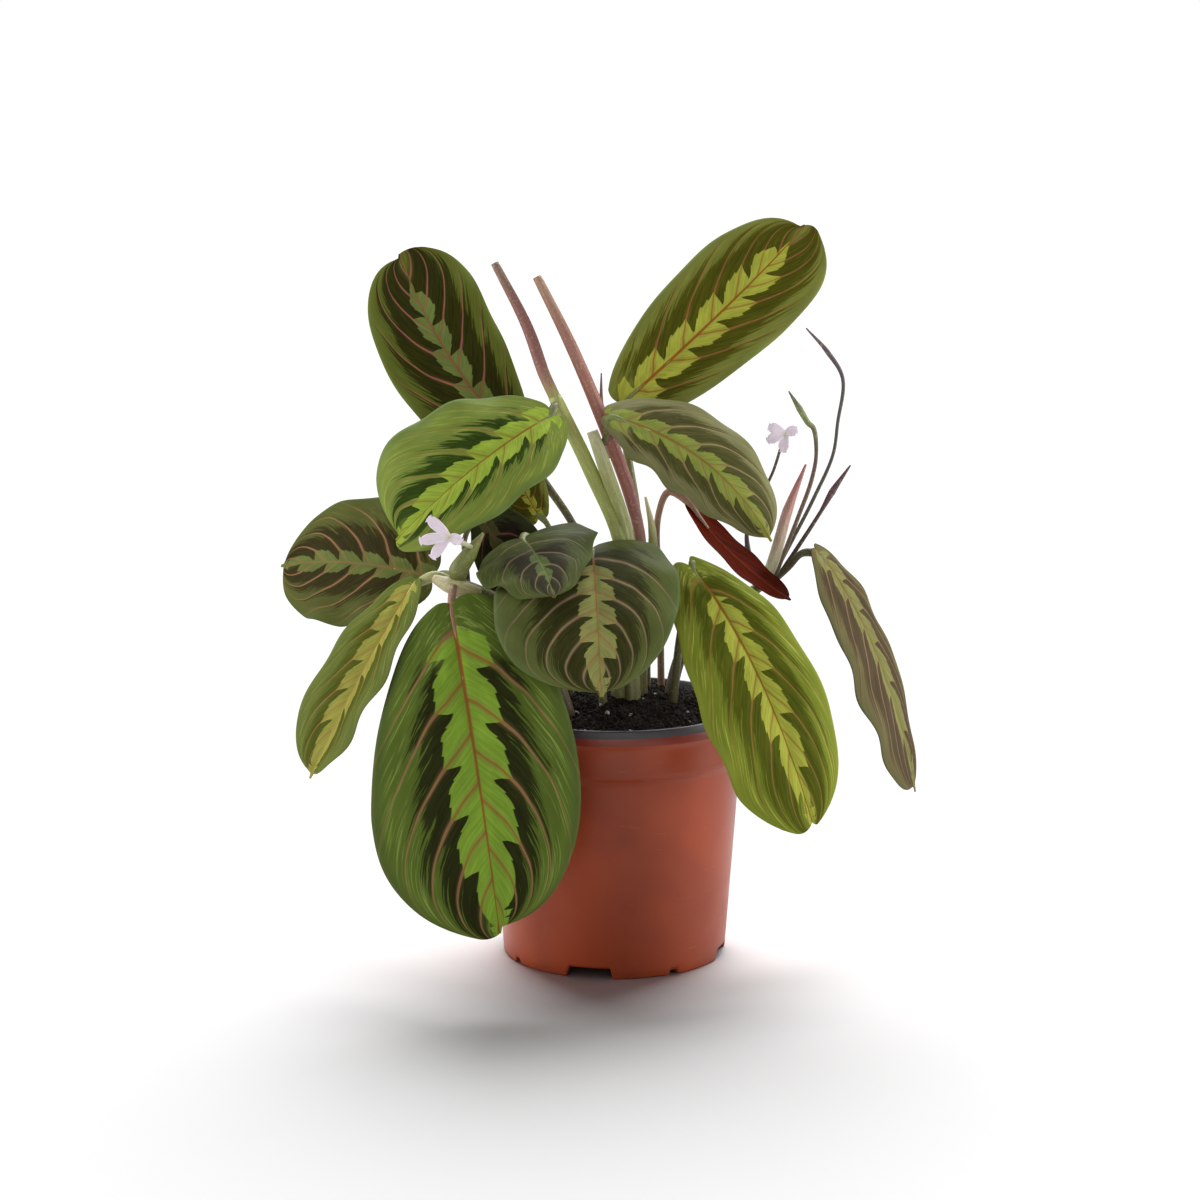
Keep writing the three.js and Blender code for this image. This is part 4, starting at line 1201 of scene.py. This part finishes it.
def potPlastic():
    material, shader = newMaterial("potPlastic", roughness=0.36, specular=0.3)
    place = objectPlace()
    x, y, z = splitXYZ(place)
    cloud = speckle(place, 22.0, 3.0)
    outer, deep, band, scuff, dust = (hue(pot[key]) for key in ("outer", "deep", "band", "scuff", "dust"))
    colour = blend(ramp(cloud, 0.35, 0.7, 0.0, 0.6), outer, deep)
    colour = blend(times(ramp(z, 0.1086, 0.1092), 0.75), colour, band)
    scuffs = speckle(joinXYZ(times(x, 60.0), times(y, 60.0), times(z, 400.0)), 1.0, 4.0, 0.7)
    colour = blend(ramp(scuffs, 0.62, 0.8, 0.0, 0.25), colour, scuff)
    # darker in patches towards the foot
    colour = blend(times(ramp(z, 0.012, 0.0), ramp(cloud, 0.4, 0.65), 0.35), colour, dust)
    plug(ramp(cloud, 0.3, 0.7, 0.3, 0.44), shader.inputs["Roughness"])
    finishMaterial(shader, colour, speckle(place, 260.0, 3.0), strength=0.06, depth=0.0003)
    return material


def potLining():
    material, shader = newMaterial("potLining", roughness=0.5, specular=0.45)
    place = objectPlace()
    z = splitXYZ(place)[2]
    cloud = speckle(place, 90.0, 4.0, 0.65)
    colour = blend(ramp(z, 0.110, 0.1125), hue(pot["inner"]), hue(pot["lip"]))
    colour = blend(ramp(cloud, 0.5, 0.75, 0.0, 0.35), colour, hue(pot["liningDust"]))
    finishMaterial(shader, colour, cloud, strength=0.1, depth=0.0003)
    return material


potBody = makePot([potPlastic(), potLining()])
drillDrains(potBody)
finishPiece(potBody, "pot_plastic", "pot")
print("pot")


# soil, with crumbs and white grains scattered over it by geometry nodes

soil = {
    "edge": 0.1115, "crown": 0.011, "clods": 0.0014, "segments": 120, "rings": 44, "gap": 0.00035,
    "dark": "0f0c0a", "brown": "1a1410", "crumbBrown": "2f241a", "fibre": "4a3828",
    "perlite": "6c6860 c2beb6",
    "crumbs": {"density": 420000, "size": (0.0005, 0.0017), "seed": 3},      # density per square metre
    "grains": {"density": 5000, "size": (0.0005, 0.0018), "seed": 11},
    "groundSegments": 96, "groundRings": 30, "groundGap": 0.002,
}
soilRadius = pot["bodyRadius"] - pot["wall"] - soil["gap"]


def soilHeight(x, y):
    reach = math.hypot(x, y)
    fade = limit((soilRadius - reach) / 0.006)      # the clods stay off the pot's wall
    u, v = x * 1000, y * 1000
    broad = math.sin(0.21 * u + 0.13 * v) + math.sin(0.34 * v - 0.12 * u + 1) + math.sin(0.5 * u - 0.4 * v)
    rough = 0.0009 * noise.noise(Vector((u * 0.35, v * 0.35, 2.0))) + 0.0005 * noise.noise(Vector((u, v, 5)))
    crown = soil["crown"] * (1 - limit(reach / soilRadius) ** 2)
    return soil["edge"] + crown + fade * (soil["clods"] * broad / 3 + rough)


def soilMaterial(name, dark, brown, contrast):
    material, shader = newMaterial(name, roughness=0.92, specular=0.2)
    place = objectPlace()
    clumps = speckle(place, 420.0, 4.0, 0.7)
    fibres = speckle(place, 1500.0, 3.0, 0.6)
    colour = blend(ramp(clumps, 0.35, 0.7, 0.0, contrast), hue(dark), hue(brown))
    colour = blend(ramp(fibres, 0.6, 0.75, 0.0, 0.4), colour, hue(soil["fibre"]))
    finishMaterial(shader, colour, plus(clumps, fibres), strength=0.8, depth=0.0006)
    return material


def grainMaterial():
    material, shader = newMaterial("perlite", roughness=0.8, specular=0.3)
    pits = speckle(objectPlace(), 1400.0, 3.0, 0.6)
    colour = blend(ramp(pits, 0.35, 0.65), *hues(soil["perlite"]))
    finishMaterial(shader, colour, pits, strength=0.6, depth=0.0004)
    return material


def addRing(parts, radius, count, z=None):
    # a ring of points round the pot's middle, at height z or else on the soil
    ring = []
    for j in range(count):
        turn = 2 * math.pi * j / count
        x, y = radius * math.cos(turn), radius * math.sin(turn)
        ring.append(addPoint(parts, (x, y, soilHeight(x, y) if z is None else z)))
    return ring


def makeSoil(material):
    parts = newParts()
    count, rings = soil["segments"], soil["rings"]
    foot = pot["footRadius"] - pot["wall"] - 2 * soil["gap"]
    bottom = pot["floorTop"] + soil["gap"]
    outline = [(0.002, bottom), (foot - 0.0015, bottom), (foot, pot["floorTop"] + 0.0028),
               (soilRadius - 0.0004, pot["collarBottom"] - 0.001)]
    grid = [addRing(parts, radius, count, z) for radius, z in outline]
    grid += [addRing(parts, soilRadius * (1 - i / rings), count) for i in range(rings)]
    addSheet(parts, grid, 0, closed=True)
    closeRing(parts, grid[0], addPoint(parts, (0, 0, bottom)), 0, flip=True)
    closeRing(parts, grid[-1], addPoint(parts, (0, 0, soilHeight(0, 0))), 0)
    return makeObject("soil", parts, [material])


def soilSurface():
    # the open top of the soil, as the ground that the grains are scattered on
    parts = newParts()
    rings = soil["groundRings"]
    outer = pot["bodyRadius"] - pot["wall"] - soil["groundGap"]
    radii = [max(outer * (1 - i / rings), 0.0005) for i in range(rings + 1)]
    grid = [addRing(parts, radius, soil["groundSegments"]) for radius in radii]
    addSheet(parts, grid, 0, closed=True)
    return makeObject("soilSurface", parts, [])


def randomValue(kind, inputs, output):
    node = newNode("FunctionNodeRandomValue")
    node.data_type = kind
    return fill(node, inputs, output)


def scatterTree(material):
    inputs = {
        "Ground": "Geometry", "Density": "Float", "Smallest": "Float", "Largest": "Float", "Seed": "Int",
    }
    outputs = {"Grains": "Geometry"}
    tree, given, result = newGroup("scatterGrains", "GeometryNodeTree", inputs, outputs)
    seed = given["Seed"]
    ground = {"Mesh": given["Ground"], "Density": given["Density"], "Seed": seed}
    points = fill(newNode("GeometryNodeDistributePointsOnFaces"), ground, "Points")
    chip = fill(newNode("GeometryNodeMeshIcoSphere"), {"Radius": 1.0, "Subdivisions": 1}, "Mesh")
    turn = randomValue("FLOAT_VECTOR", {1: (6.28, 6.28, 6.28), "Seed": seed}, 0)
    size = randomValue("FLOAT", {2: given["Smallest"], 3: given["Largest"], "Seed": seed}, 1)
    shape = randomValue("FLOAT_VECTOR", {0: (0.6, 0.6, 0.45), 1: (1.3, 1.0, 0.9), "Seed": seed}, 0)
    sizing = newNode("ShaderNodeVectorMath")
    sizing.operation = "SCALE"
    scale = fill(sizing, {0: shape, "Scale": size}, "Vector")
    placing = {"Points": points, "Instance": chip, "Rotation": turn, "Scale": scale}
    placed = fill(newNode("GeometryNodeInstanceOnPoints"), placing, "Instances")
    real = fill(newNode("GeometryNodeRealizeInstances"), {"Geometry": placed}, "Geometry")
    painting = {"Geometry": real, "Material": material}
    plug(fill(newNode("GeometryNodeSetMaterial"), painting, "Geometry"), result["Grains"])
    return tree


def scatter(name, ground, material, rule):
    tree = scatterTree(material)
    modifier = ground.modifiers.new("scatter", "NODES")
    modifier.node_group = tree
    sockets = {item.name: item.identifier for item in tree.interface.items_tree if item.in_out == "INPUT"}
    modifier[sockets["Density"]] = float(rule["density"])
    modifier[sockets["Smallest"]], modifier[sockets["Largest"]] = rule["size"]
    modifier[sockets["Seed"]] = rule["seed"]
    mesh = frozenMesh(ground)
    mesh.name = name
    return addObject(name, mesh)


soilBody = makeSoil(soilMaterial("soilGround", soil["dark"], soil["brown"], 0.8))
finishPiece(soilBody, "potting_soil", "soil")
ground = soilSurface()
crumbMaterial = soilMaterial("soilCrumb", soil["dark"], soil["crumbBrown"], 1.0)
crumbs = scatter("soilCrumbs", ground, crumbMaterial, soil["crumbs"])
grains = scatter("soilGrains", ground, grainMaterial(), soil["grains"])
bpy.data.objects.remove(ground)
for thing in (crumbs, grains):
    finishPiece(thing, "potting_soil")
print("soil", len(crumbs.data.polygons), len(grains.data.polygons))
